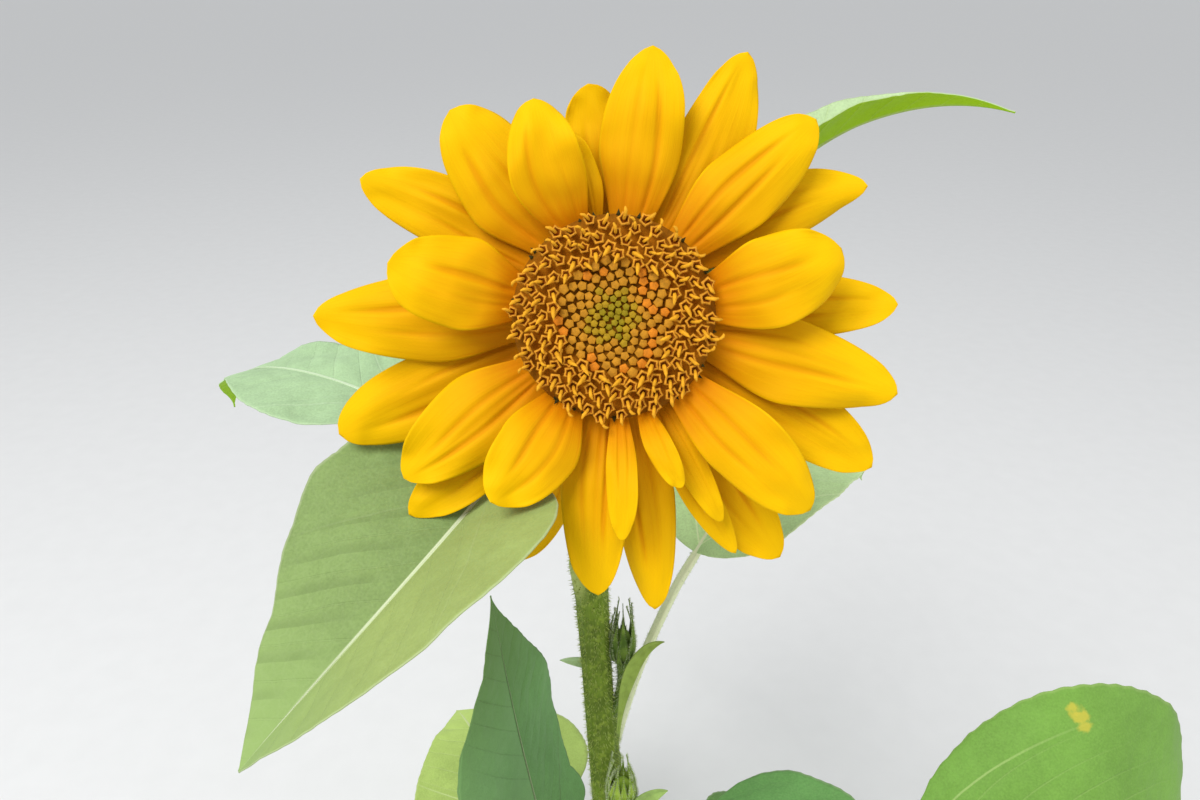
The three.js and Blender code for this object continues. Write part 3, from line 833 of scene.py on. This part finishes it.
def curve_at(root, knee, tip, share):
    """A point of the quadratic curve from root to tip, and the way ahead there."""
    point = root * (1 - share) ** 2 + knee * 2 * share * (1 - share) + tip * share**2
    ahead = (knee - root) * (1 - share) + (tip - knee) * share
    return point, ahead.normalized()


def bract_place(frame, root, tip, half, sag):
    """The place function of a bract round the Z axis of a frame, for a sheet."""
    side = Vector((-root.y, root.x, 0)).normalized()
    knee = (root + tip) / 2 + sag

    def place(across, along):
        centre, ahead = curve_at(root, knee, tip, along)
        normal = ahead.cross(side)
        width = max(0.2, half * (1 - along) ** 0.8 * (0.75 + along))
        keel = 0.12 * half * (abs(across) - 0.5) - 0.4 * math.exp(-((across / 0.12) ** 2))
        point = centre + side * across * width + normal * keel
        return frame @ point, (across * width / MEASURE, along)

    return place


def mottled_material(name, dark, pale, scale, gloss, sheen):
    """A matt green skin with patches from dark to pale and a fine grain."""
    material, shader, start = new_material(
        name, Roughness=0.62, Specular_IOR_Level=gloss, Sheen_Weight=sheen
    )
    place = start.node("ShaderNodeTexCoord", output="Object")
    feed(shader, "Base Color", start.noise(place, scale).even_tint(dark, pale))
    feed(shader, "Normal", start.noise(place, 900.0).relief(0.0004))
    return material


bract_skin = mottled_material(
    "green bract", (0.12, 0.22, 0.045), (0.24, 0.37, 0.09), 150.0, gloss=0.25, sheen=0.06
)
bm = spun(BOWL_PROFILE, ROUND_STEPS)
bmesh.ops.transform(bm, matrix=bloom_frame, verts=bm.verts)
add_piece("head_bowl", bm, [bract_skin], "bract", "head_with_bracts")
bract_hairs = []
for number, row in enumerate(BRACT_ROWS):
    for i in range(row["count"]):
        angle = row["start"] + 360 * i / row["count"]
        root = polar(row["root"], angle, row["root_z"])
        reach = row["reach"] + 3 * math.sin(2.4 * i)
        tip = polar(reach, angle + 4 * math.sin(1.7 * i), row["tip_z"])
        place = bract_place(bloom_frame, root, tip, row["half"], Vector((0, 0, BRACT_SAG)))
        bract = sheet(10, 28, place, BRACT_THICKNESS)
        add_piece(f"bract_{number}_{i}", bract, [bract_skin, bract_skin], "bract", "head_with_bracts")
        dice = np.random.default_rng(100 * number + i)
        for along in dice.random(BRACT_HAIRS):
            for margin in (-1, 1):
                root_point = place(margin, along)[0]
                out = root_point - place(0, along)[0] + bloom_front * (along - 0.5)
                bract_hairs.append((root_point, out, BRACT_HAIR_LENGTH))
add_bristles("bract_hairs", bract_hairs, bristle, "bract")

# Disc: hundreds of small tube flowers on a brown cushion, set in the spirals that a golden angle
# makes. The outer ones are open, each a five-lobed golden cup with its stamens or style leaning out.
# The inner ones are closed five-cornered buds, greenish in the middle, with dark scales at the rim.

DISC_RADIUS = 31.2
CUSHION_PROFILE = [
    (0, -0.3),
    (DISC_RADIUS, -0.3),
    (DISC_RADIUS, 1.6),
    (28.6, 3.2),
    (21, 3),
    (17.5, 3.6),
    (12, 2.6),
    (0, 1.5),
]
GOLDEN_ANGLE = 137.508
FLORET_LIMIT = 30.3
OPEN_FROM = 17.6
INWARD_UNTIL = 21.5
OUTWARD_BEYOND = 25
ORANGE_FROM = 13.5
STICK_DROOP = 0.55
CUP_SIDES = 10
CUP_LOBES = 5
CUP_FOOT = 0.85
CUP_RINGS = [
    {"radius": 1.2, "height": 3.1, "out": 0, "up": 0, "shade": 0},
    {"radius": 1.7, "height": 4, "out": 0.6, "up": 0.6, "shade": 0},
    {"radius": 1.1, "height": 4.25, "out": 0.4, "up": 0.7, "shade": 0},
    {"radius": 0.8, "height": 3.2, "out": 0, "up": 0, "shade": 1},
]
FLORET_KINDS = {
    "stamens": [
        {
            "knots": [(0, 0, 2.9), (0.6, 0, 4.6), (1.8, 0.2, 5.8), (3.6, 0.3, 6.7)],
            "radii": [0.6, 0.8, 0.74, 0.16],
        },
    ],
    "style": [
        {
            "knots": [(0, 0, 2.9), (0.6, 0, 4.7), (1.7, -0.2, 5.8), (3.2, 0.2, 6.3)],
            "radii": [0.55, 0.55, 0.6, 0.8],
        },
    ],
    "forked_style": [
        {
            "knots": [(0, 0, 2.9), (0.5, 0, 4.9), (1.3, 0, 5.9), (2.6, 0.2, 6.3)],
            "radii": [0.55, 0.55, 0.58, 0.54],
        },
        {
            "knots": [(2.2, 0.1, 6.2), (3.2, 0.7, 6.4), (3.5, 1.6, 5.9)],
            "radii": [0.46, 0.5, 0.34],
        },
    ],
}
STICK_SIDES = 5
SCALES = 28
SCALE_ROOT = 29.8


def floret_ground(radius):
    """The ground in square millimetres that a floret takes up, more towards the rim."""
    return 4.6 + 4 * smoothstep(radius, 3, 15) + 8.2 * smoothstep(radius, 15.5, 21)


def floret_spots():
    """(radius, angle) of each floret from the middle outwards."""
    spots = []
    radius = 0.8
    while radius < FLORET_LIMIT:
        spots.append((radius, GOLDEN_ANGLE * len(spots)))
        radius = math.sqrt(radius * radius + floret_ground(radius) / math.pi)
    return spots


def cushion_height(radius):
    """The height of the cushion's top at a distance from its middle."""
    return float(np.interp(radius, *zip(*CUSHION_PROFILE[:1:-1])))


def pinched(vert, amount):
    """Turns a round ring into a rounded pentagon."""
    pinch = 1 + amount * math.sin(CUP_LOBES * math.atan2(vert.co.y, vert.co.x))
    vert.co.x *= pinch
    vert.co.y *= pinch


def floret_bud():
    """A closed bud: a low five-cornered dome, one unit wide and one high."""
    bm = bmesh.new()
    bmesh.ops.create_cone(bm, cap_ends=True, segments=10, radius1=0.42, radius2=0.5, depth=0.8)
    bmesh.ops.translate(bm, vec=(0, 0, 0.4), verts=bm.verts)
    top = [face for face in bm.faces if face.normal.z > 0.9]
    for shrink, rise in ((0.05, 0.07), (0.08, 0.04)):
        bmesh.ops.inset_region(bm, faces=top, thickness=shrink, depth=0)
        corners = list({vert for face in top for vert in face.verts})
        bmesh.ops.translate(bm, vec=(0, 0, rise), verts=corners)
    for vert in bm.verts:
        pinched(vert, 0.11)
    bmesh.ops.triangulate(bm, faces=bm.faces)
    return bm


def add_stick(bm, stick):
    """Adds a stamen tube or a style, thicker and thinner along its length as its radii say."""
    shares = np.linspace(0, 1, len(stick["radii"]))

    def radius(share, turn):
        rounded = math.sqrt(1 - smoothstep(share, 0.86, 1) * 0.9)
        return float(np.interp(share, shares, stick["radii"])) * rounded

    part = Limb(smooth_curve(stick["knots"]), (0, 1, 0), radius).mesh(STICK_SIDES, 4)
    for face in part.faces:
        face.material_index = 2
    mesh = bpy.data.meshes.new("stick")
    part.to_mesh(mesh)
    part.free()
    bm.from_mesh(mesh)
    bpy.data.meshes.remove(mesh)


def open_floret(sticks):
    """An open floret in millimetres: a cup whose rim flares into five lobes, and the sticks in it."""
    bm = bmesh.new()
    bmesh.ops.create_circle(bm, segments=CUP_SIDES, radius=CUP_FOOT)
    rim = bm.edges[:]
    for band in CUP_RINGS:
        ring = bmesh.ops.extrude_edge_only(bm, edges=rim)["geom"]
        rim = [item for item in ring if isinstance(item, bmesh.types.BMEdge)]
        for face in ring:
            if isinstance(face, bmesh.types.BMFace):
                face.material_index = band["shade"]
        for vert in {vert for edge in rim for vert in edge.verts}:
            corner = math.atan2(vert.co.y, vert.co.x)
            lobe = 0.5 + 0.5 * math.sin(CUP_LOBES * corner)
            reach = band["radius"] + band["out"] * lobe
            height = band["height"] + band["up"] * lobe
            vert.co = (reach * math.cos(corner), reach * math.sin(corner), height)
    for face in bmesh.ops.holes_fill(bm, edges=bm.edges)["faces"]:
        face.material_index = 1
    for stick in sticks:
        add_stick(bm, stick)
    bmesh.ops.triangulate(bm, faces=bm.faces)
    bmesh.ops.recalc_face_normals(bm, faces=bm.faces)
    return bm


cushion_skin, cushion_shader, start = new_material(
    "brown disc cushion", Roughness=0.85, Specular_IOR_Level=0.1
)
object_place = start.node("ShaderNodeTexCoord", output="Object")
grain = start.noise(object_place, 800.0)
to_middle = {0: object_place, 1: Vector(BLOOM_CENTRE) * MM}
from_middle = start.node("ShaderNodeVectorMath", to_middle, output=1, operation="DISTANCE")
ground = from_middle.over(0.015, 0.019).tint((0.13, 0.05, 0.001), (0.36, 0.12, 0.002))
ground = from_middle.over(0.027, 0.03).tint(ground, (0.2, 0.07, 0.001))
feed(cushion_shader, "Base Color", (grain.over(0.3, 0.7) * 0.5).tint(ground, (0.3, 0.1, 0.001)))
feed(cushion_shader, "Normal", grain.relief(0.0006))
bm = spun(CUSHION_PROFILE, ROUND_STEPS)
bmesh.ops.transform(bm, matrix=bloom_frame, verts=bm.verts)
add_piece("disc_cushion", bm, [cushion_skin], "floret", "disc_of_florets")

bud_tints = [
    speckled_material("green disc bud", (0.26, 0.19, 0.006), 0.6, 600),
    speckled_material("yellow green disc bud", (0.35, 0.21, 0.008), 0.6, 600),
    speckled_material("golden disc bud", (0.46, 0.2, 0.012), 0.6, 600),
    speckled_material("orange disc bud", (0.6, 0.19, 0.01), 0.6, 600),
]
floret_tints = [
    speckled_material("golden floret", (0.64, 0.28, 0.02), 0.6, 500),
    speckled_material("brown floret throat", (0.25, 0.065, 0.001), 0.75, 500),
    speckled_material("yellow style", (0.7, 0.33, 0.015), 0.6, 500),
]
dice = np.random.default_rng(5)
bud_frames, bud_shades = [], []
floret_frames = {kind: [] for kind in FLORET_KINDS}
for radius, angle in floret_spots():
    lean = math.radians(7 * (radius / FLORET_LIMIT) ** 2 + 12 * (dice.random() - 0.5))
    spin, chance, size = dice.random(3)
    spot = (
        bloom_frame
        @ Matrix.Rotation(math.radians(angle), 4, "Z")
        @ Matrix.Translation((radius, 0, cushion_height(radius) - 1))
        @ Matrix.Rotation(lean, 4, "Y")
    )
    if radius < OPEN_FROM + 1.6 * (chance - 0.5):
        width = 1.01 * math.sqrt(floret_ground(radius)) * (0.95 + 0.1 * size)
        height = 2.2 + 0.6 * size + 0.7 * smoothstep(radius, 6, OPEN_FROM)
        turned = Matrix.Rotation(spin * TURN, 4, "Z") @ Matrix.Diagonal((width, width, height, 1))
        bud_frames.append(np.array(spot @ turned))
        shade = 2.2 * smoothstep(radius, 2, 12) + 0.9 * (size - 0.5)
        if radius > ORANGE_FROM and spin > 0.72:
            shade += 1.2
        bud_shades.append(min(3, max(0, round(shade))))
    else:
        outward = blend(-0.35, 1, smoothstep(radius, OPEN_FROM, OUTWARD_BEYOND))
        aim = polar(outward, angle, 0) - Vector((0, STICK_DROOP, 0))
        swing = math.atan2(aim.y, aim.x) - math.radians(angle) + 1.9 * (spin - 0.5)
        turned = Matrix.Rotation(swing, 4, "Z") @ Matrix.Scale(0.88 + 0.18 * size, 4)
        styled = "style" if chance < 0.6 else "forked_style"
        kind = "stamens" if radius < INWARD_UNTIL else styled
        floret_frames[kind].append(np.array(spot @ turned))
mesh = repeated("disc_buds", floret_bud(), np.array(bud_frames), bud_shades)
place_piece("disc_buds", mesh, bud_tints, "floret", "disc_of_florets")
for kind, frames in floret_frames.items():
    name = "open_florets_with_" + kind
    mesh = repeated(name, open_floret(FLORET_KINDS[kind]), np.array(frames))
    place_piece(name, mesh, floret_tints, "floret", "disc_of_florets")

frames = []
for angle in 360 * dice.random(SCALES):
    way = polar(1, angle, 1.3 + 0.8 * dice.random())
    size = (1.3, 0.6, 3.2 + 2 * dice.random())
    scale = upright_frame(polar(SCALE_ROOT, angle, 0.2), way, size)
    frames.append(np.array(bloom_frame @ scale))
scale_skin = speckled_material("dark scale", (0.045, 0.035, 0.006), 0.7, 700)
mesh = repeated("disc_scales", spike(6), np.array(frames))
place_piece("disc_scales", mesh, [scale_skin], "floret", "disc_of_florets")

# Petals: the golden ray flowers round the disc in four loose whorls, crowded so that they overlap
# from the root on. Each is one thin soft sheet, cupped, with two or three lengthwise creases and
# a wavy margin. It grows from under the outer florets and is deepest orange there.

RAYS = [
    {"tip": 2.5, "reach": 88.6, "half": 10.5, "whorl": 1, "lean": 1},
    {"tip": 16.9, "reach": 70, "half": 14.4, "whorl": 3, "lean": -7},
    {"tip": 27.2, "reach": 88, "half": 9.5, "whorl": 1, "lean": 12, "fuller": (4, 0)},
    {"tip": 44.3, "reach": 84.5, "half": 12.3, "whorl": 2, "lean": 1},
    {"tip": 63.1, "reach": 90, "half": 11.2, "whorl": 1, "lean": -3, "fuller": (2.5, 0)},
    {"tip": 81.9, "reach": 80.8, "half": 12.2, "whorl": 2, "lean": -2, "fuller": (0.8, 0.8)},
    {"tip": 96.4, "reach": 71, "half": 10.5, "whorl": 1, "lean": -2, "blunt": 0.5},
    {"tip": 103.6, "reach": 56.5, "half": 5, "whorl": 2, "lean": -2},
    {"tip": 110.4, "reach": 67.8, "half": 11.5, "whorl": 3, "lean": 5},
    {"tip": 128.6, "reach": 78.6, "half": 13.4, "whorl": 2, "lean": -1, "fuller": (0, 2), "blunt": 0.3},
    {"tip": 151.6, "reach": 88.8, "half": 11.4, "whorl": 1, "lean": -5},
    {"tip": 166.5, "reach": 68.2, "half": 14.5, "whorl": 3, "lean": 2},
    {"tip": 179.8, "reach": 94.2, "half": 13.1, "whorl": 1, "lean": 3, "fuller": (2, 0)},
    {"tip": 203.2, "reach": 98.7, "half": 12.4, "whorl": 0, "lean": -3, "fuller": (0, 2), "blunt": 0.5},
    {"tip": 217.4, "reach": 82.4, "half": 12.4, "whorl": 2, "lean": -1, "fuller": (1, 1)},
    {"tip": 223.9, "reach": 91, "half": 10.3, "whorl": 1, "lean": 4, "back": -3},
    {"tip": 235.9, "reach": 65.4, "half": 12.9, "whorl": 3, "lean": 4, "back": -4},
    {"tip": 248.9, "reach": 91, "half": 10, "whorl": 0, "lean": 3, "back": 13},
    {"tip": 266.8, "reach": 86.5, "half": 11, "whorl": 2, "lean": -4},
    {"tip": 272, "reach": 67.4, "half": 5, "whorl": 3, "lean": 1},
    {"tip": 278.2, "reach": 96.4, "half": 9.6, "whorl": 1, "lean": 3},
    {"tip": 292, "reach": 55, "half": 4.5, "whorl": 3, "lean": -4},
    {"tip": 298, "reach": 72.3, "half": 5, "whorl": 2, "lean": 0},
    {"tip": 297.5, "reach": 86, "half": 6, "whorl": 1, "lean": -3},
    {"tip": 304.9, "reach": 97.5, "half": 12.3, "whorl": 0, "lean": -4},
    {"tip": 315.6, "reach": 83.8, "half": 12, "whorl": 3, "lean": -1},
    {"tip": 329.9, "reach": 96, "half": 12, "whorl": 1, "lean": 2},
    {"tip": 344.9, "reach": 90, "half": 12.5, "whorl": 2, "lean": 3, "fuller": (1.5, 0)},
]
WHORLS = [
    {"root": -10.5, "bow": 0, "tip": -15},
    {"root": -7, "bow": 1, "tip": -6},
    {"root": -3.4, "bow": 3, "tip": 3},
    {"root": 0.6, "bow": 6, "tip": 11},
]
RAY_CUP = 0.14
RAY_ROLL = 5
PETAL_THICKNESS = 0.35
PETAL_COLUMNS = 30
PETAL_ROWS = 54
CREASE_WIDTH = 0.08
MARGIN_WAVE = 1.25
MARGIN_WAVES = 1.15
BUCKLE = 1.3
TIP_CURL = 2.6
TIP_CURL_FROM = 0.72


def ray_shape(share, blunt):
    """Half width of a petal as a share of its widest."""
    swell = 0.4 + 0.6 * smoothstep(share, -0.15, 0.45)
    return swell * (1 - share ** (4.2 + 4 * blunt)) ** 0.62


def petal_place(ray, number):
    """The place function of a petal, for a sheet."""
    whorl = WHORLS[ray["whorl"]]
    tip_z = whorl["tip"] - ray.get("back", 0)
    root = polar(HEAD_RADIUS - 1.5, ray["tip"] + ray["lean"], 0)
    knee = polar((HEAD_RADIUS + ray["reach"]) / 2, ray["tip"] + ray["lean"], 0)
    tip = polar(ray["reach"], ray["tip"], 0)
    full_roll = math.radians(RAY_ROLL * math.sin(math.radians(7 * ray["tip"])))
    dice = np.random.default_rng(number)
    wander, uneven, right_wave, left_wave, curl = dice.random(5) * TURN
    creases = (-0.2 - 0.28 * dice.random(), 0.04 + 0.1 * dice.random(), 0.3 + 0.25 * dice.random())
    depths = (0.5 + 0.9 * dice.random(), 0.5 * dice.random(), 0.5 + 0.9 * dice.random())
    ends = 0.65 + 0.35 * dice.random(3)
    cup = RAY_CUP * (0.4 + 1.1 * dice.random())
    waves = tuple(1.1 + 1.3 * dice.random(2))
    fuller = ray.get("fuller", (0, 0))
    half_full = ray["half"]
    size = min(1, half_full / 10)

    def place(across, along):
        centre, ahead = curve_at(root, knee, tip, along)
        side = Vector((0, 0, 1)).cross(ahead)
        left = across > 0
        belly = math.sin(math.pi * min(1, 0.12 + along))
        half = half_full * ray_shape(along, ray.get("blunt", 0)) + fuller[left] * belly
        half *= 1 + (0.05 if left else -0.05) * math.sin(uneven)
        half = max(0.12, half * (1 + 0.03 * math.sin(7 * along + (wander if left else uneven))))
        roll = full_roll * smoothstep(along, 0, 0.6)
        point = centre + side * half * across * math.cos(roll)
        point.z = blend(whorl["root"], tip_z, along**1.2) + whorl["bow"] * math.sin(math.pi * along)
        point.z += half * across * math.sin(roll) - cup * half * across * across
        fade = smoothstep(along, 0, 0.12) * size
        folded = 0
        for crease, depth, end in zip(creases, depths, ends):
            middle = crease * (1 - 0.45 * along) + 0.06 * math.sin(3.5 * along + wander)
            line = math.exp(-(((across - middle) / CREASE_WIDTH) ** 2))
            folded += depth * line * fade * (1 - smoothstep(along, end - 0.35, min(end, 0.95)))
        point.z -= folded
        phase = left_wave if left else right_wave
        wave = waves[left] * math.sin(TURN * MARGIN_WAVES * along + phase)
        wide = 1 - smoothstep(along, 0.84, 1)
        point.z += MARGIN_WAVE * size * wave * abs(across) ** 3 * smoothstep(along, 0.15, 0.5) * wide
        buckle = noise.noise(Vector((across * 1.5 * wide, along * 4, number)))
        point.z += BUCKLE * size * buckle * smoothstep(along, 0.05, 0.3)
        point.z += TIP_CURL * size * math.sin(curl) * max(0, along - TIP_CURL_FROM) ** 2 / 0.08
        return bloom_frame @ point, (folded, along)

    return place


def petal_material(name, root_colour, middle_colour, tip_colour):
    """The streaked skin of petals, which runs from the root's colour to the tip's, with painted shade
    in the folds and a painted highlight along the margins."""
    material, shader, start = new_material(
        name, Roughness=0.65, Specular_IOR_Level=0.06, Sheen_Weight=0
    )
    across = start.node("ShaderNodeAttribute", attribute_name="across", output="Fac")
    along = start.node("ShaderNodeAttribute", attribute_name="along", output="Fac")
    place = start.node("ShaderNodeTexCoord", output="Object")
    lines = start.node("ShaderNodeCombineXYZ", {0: across * 7, 1: along * 0.9})
    streaks = start.noise(lines, 1.0)
    fine_lines = start.node("ShaderNodeCombineXYZ", {0: across * 30, 1: along * 2.5})
    fine = start.noise(fine_lines, 1.0)
    patches = start.noise(place, 55.0)
    drift = (patches - 0.5) * 0.3 + (streaks - 0.5) * 0.4
    colour = (along + drift * 0.5).over(0.0, 0.42).tint(root_colour, middle_colour)
    colour = (along + drift + abs(across) * 0.12).over(0.35, 1.0).tint(colour, tip_colour)
    measures = start.node("ShaderNodeUVMap", uv_map="measures")
    folded = start.node("ShaderNodeSeparateXYZ", {"Vector": measures}, output=0)
    colour = (streaks.over(0.55, 0.72) * 0.14).tint(colour, root_colour)
    # Painted shade: the deeper a crease is folded, the more it takes the root's deep orange.
    colour = (folded.over(0.1, 1.0) * 0.43).tint(colour, root_colour)
    # Painted highlight: the margins, where the petals curl, are lit up with the tip's colour.
    colour = (abs(across).over(0.93, 0.99) * along.over(0.05, 0.4) * 0.8).tint(colour, tip_colour)
    feed(shader, "Base Color", (fine.over(0.5, 0.75) * 0.14).tint(colour, root_colour))
    height = (streaks * 0.6 + fine * 0.25) * along.over(0.98, 0.85) + patches * 0.3
    feed(shader, "Normal", height.relief(0.0004, 0.6))
    return material


petal_upper = petal_material("golden petal", (0.58, 0.185, 0.0), (0.68, 0.33, 0.0), (0.76, 0.44, 0.0))
petal_under = petal_material("petal back", (0.46, 0.18, 0.003), (0.6, 0.31, 0.001), (0.7, 0.41, 0.001))
for number, ray in enumerate(RAYS, 1):
    bm = sheet(PETAL_COLUMNS, PETAL_ROWS, petal_place(ray, number), PETAL_THICKNESS)
    add_piece(f"petal_{number:02}", bm, [petal_upper, petal_under], "petal", f"ray_{number:02}")

# Side shoots: two young buds on short stalks beside the stem, each a closed hairy bud in pointed
# bracts that stand straight up, with a first narrow leaf that bends out beside it. A third small
# leaf grows behind the stem.

SHOOTS = [
    {
        "name": "bud_upper", "height": 306, "heading": 0, "out": 11.5, "top": 351,
        "radius": 4.6, "tall": 9, "bracts": 9, "reach": 35,
        "leaf": ((-8.4, -4, 305), (-6, -6, 360), (10.7, -5, 360)), "half": 3.4,
        "dark": (0.07, 0.13, 0.012), "pale": (0.19, 0.29, 0.04), "leaf_green": (0.33, 0.45, 0.085),
    },
    {
        "name": "bud_lower", "height": 252, "heading": -60, "out": 16, "top": 278,
        "radius": 5.4, "tall": 9, "bracts": 13, "reach": 32,
        "leaf": ((-4, -14, 262), (2, -16, 283), (14, -15, 283)), "half": 4.2,
        "dark": (0.17, 0.29, 0.02), "pale": (0.36, 0.5, 0.06), "leaf_green": (0.36, 0.52, 0.14),
    },
]
SHOOT_RADIUS = 2.8
SHOOT_HAIRS = 1100
SHOOT_HAIR_LENGTH = 2.6
BUD_BRACT_HAIRS = 90
SHOOT_SHEET = 0.5
YOUNG_LEAF = ((-14, 8, 334), (-24, 9, 337.8), (-34.5, 10, 336.4))
YOUNG_LEAF_HALF = 2.8
YOUNG_LEAF_KEEL = (0, -1.2, 0.4)


def leaf_between(root, knee, tip, half):
    """The place function of a small folded leaf along the curve of three points, for a sheet."""
    root, knee, tip = Vector(root), Vector(knee), Vector(tip)

    def place(across, along):
        centre, ahead = curve_at(root, knee, tip, along)
        side = ahead.cross(Vector((0, -1, 0.4))).normalized()
        width = half * (0.25 + 0.75 * smoothstep(along, 0, 0.5)) * max(0.03, 1 - along**3) ** 0.8
        keel = Vector(YOUNG_LEAF_KEEL) * abs(across) * 0.4 * width
        return centre + side * across * width + keel, (across, along)

    return place


def bud_bract_place(middle, root, knee, tip, half):
    """The place function of a bract that hugs its bud and ends in a long thin point, for a sheet.
    Its root, knee and tip are given from the middle of the bud."""
    side = Vector((-root.y, root.x, 0)).normalized()

    def place(across, along):
        centre, ahead = curve_at(root, knee, tip, along)
        width = max(0.12, half * smoothstep(1.02 - along, 0, 0.75) ** 1.3)
        keel = ahead.cross(side) * 0.35 * (0.5 - abs(across)) * width
        return middle + centre + side * across * width + keel, (across, along)

    return place


shoot_material = partial(mottled_material, scale=220.0, gloss=0.15, sheen=0.08)
shoot_hairs = []
for seed, shoot in enumerate(SHOOTS):
    name, radius, tall = shoot["name"], shoot["radius"], shoot["tall"]
    shoot_skin = shoot_material("green shoot " + name, shoot["dark"], shoot["pale"])
    foot = stem_at(shoot["height"])
    outward = direction(shoot["heading"], 0)
    rise = shoot["top"] - shoot["height"]
    aside = foot + outward * shoot["out"]
    end = aside + Vector((stem_at(shoot["top"]).x - foot.x, 0, rise))
    knee = foot + outward * 0.84 * shoot["out"] + Vector((0, 0, 0.45 * rise))
    run = smooth_curve([foot + outward * 3, knee, end])
    stalk = Limb(run, outward.cross(Vector((0, 0, 1))), lambda share, turn: SHOOT_RADIUS)
    add_piece("stalk_" + name, stalk.mesh(14, 30), [shoot_skin], "bud", name)
    shoot_hairs += limb_hairs(stalk, SHOOT_HAIRS, 0.1, 0.95, SHOOT_HAIR_LENGTH, seed)
    egg = bmesh.new()
    bmesh.ops.create_uvsphere(egg, u_segments=24, v_segments=16, radius=1)
    bmesh.ops.scale(egg, vec=(radius, radius, tall), verts=egg.verts)
    bmesh.ops.translate(egg, vec=end, verts=egg.verts)
    add_piece("heart_" + name, egg, [shoot_skin], "bud", name)

    dice = np.random.default_rng(200 + seed)
    for i in range(shoot["bracts"]):
        angle = 360 * i / shoot["bracts"] + 12 * (dice.random() - 0.5)
        long = dice.random() ** 1.5
        tip_radius = radius * (0.3 + 1.1 * long * dice.random())
        tip_height = blend(0.45 * shoot["reach"], shoot["reach"] - tall, long)
        root = polar(0.5 * radius, angle, -0.85 * tall)
        knee = polar(1.65 * radius, angle, 0.12 * tall)
        tip = polar(tip_radius, angle + 20 * (dice.random() - 0.5), tip_height)
        place = bud_bract_place(end, root, knee, tip, 0.55 * radius)
        bm = sheet(8, 26, place, SHOOT_SHEET)
        add_piece(f"bract_{name}_{i}", bm, [shoot_skin, shoot_skin], "bud", name)
        for along in dice.random(BUD_BRACT_HAIRS):
            for margin in (-1, -0.5, 0.5, 1):
                point = place(margin, along)[0]
                way = Vector((point.x - end.x, point.y - end.y, 3))
                shoot_hairs.append((point, way, 0.8 + 1.1 * dice.random()))
    leaf_green = Vector(shoot["leaf_green"])
    leaf_skin = shoot_material("young leaf " + name, leaf_green * 0.75, leaf_green)
    bm = sheet(10, 30, leaf_between(*shoot["leaf"], shoot["half"]), SHOOT_SHEET)
    add_piece("young_leaf_" + name, bm, [leaf_skin, leaf_skin], "bud", name)
add_bristles("shoot_hairs", shoot_hairs, bristle, "bud")
pale_leaf_skin = shoot_material("pale young leaf", (0.42, 0.58, 0.27), (0.5, 0.68, 0.35))
bm = sheet(10, 24, leaf_between(*YOUNG_LEAF, YOUNG_LEAF_HALF), SHOOT_SHEET)
add_piece("young_leaf_back", bm, [pale_leaf_skin, pale_leaf_skin], "leaf_blade")

# Stage: a plain pale floor, a soft studio light from the upper left and a weaker one from the
# right, both given in metres, and the camera, which stands in front of the bloom, a little above
# it, and looks down past it.

FOCAL_LENGTH = 27
SENSOR = 36
CAMERA_PLACE = (-16.5, -302, 618.5)
CAMERA_DIP = 26
FLOOR_RADIUS = 60000
SKY_COLOUR = (0.95, 0.97, 1, 1)
SKY_STRENGTH = 0.75
LIGHT_AIM = (0, 0, 0.4)

floor_skin, floor_shader, start = new_material("pale floor", Roughness=0.9)
grain = start.noise(start.node("ShaderNodeTexCoord", output="Object"), 40.0)
feed(floor_shader, "Base Color", grain.tint((0.7, 0.7, 0.69), (0.74, 0.74, 0.73)))

floor = bmesh.new()
bmesh.ops.create_circle(floor, cap_ends=True, segments=64, radius=FLOOR_RADIUS * MM)
floor_mesh = bpy.data.meshes.new("floor")
floor.to_mesh(floor_mesh)
floor.free()
floor_mesh.materials.append(floor_skin)
floor_piece = bpy.data.objects.new("floor", floor_mesh)
bpy.context.scene.collection.objects.link(floor_piece)

world = bpy.data.worlds.new("studio")
world.use_nodes = True
sky = world.node_tree.nodes["Background"]
sky.inputs["Color"].default_value = SKY_COLOUR
sky.inputs["Strength"].default_value = SKY_STRENGTH
bpy.context.scene.world = world


def add_light(name, place, size, power):
    """Adds a square soft light at a place, which faces the middle of the plant."""
    lamp = bpy.data.lights.new(name, "AREA")
    lamp.size = size
    lamp.energy = power
    light = bpy.data.objects.new(name, lamp)
    light.location = place
    light.rotation_euler = (Vector(LIGHT_AIM) - Vector(place)).to_track_quat("-Z", "Y").to_euler()
    bpy.context.scene.collection.objects.link(light)


add_light("key", (-0.9, -1.1, 2.1), 1.1, 42)
add_light("fill", (1.4, -0.6, 1.2), 1.4, 6)

lens = bpy.data.cameras.new("camera")
lens.lens = FOCAL_LENGTH
lens.sensor_width = SENSOR
camera = bpy.data.objects.new("camera", lens)
camera.location = Vector(CAMERA_PLACE) * MM
camera.rotation_euler = (math.radians(90 - CAMERA_DIP), 0, 0)
bpy.context.scene.collection.objects.link(camera)
bpy.context.scene.camera = camera
bpy.context.scene.view_settings.view_transform = "Standard"

bpy.context.view_layer.update()
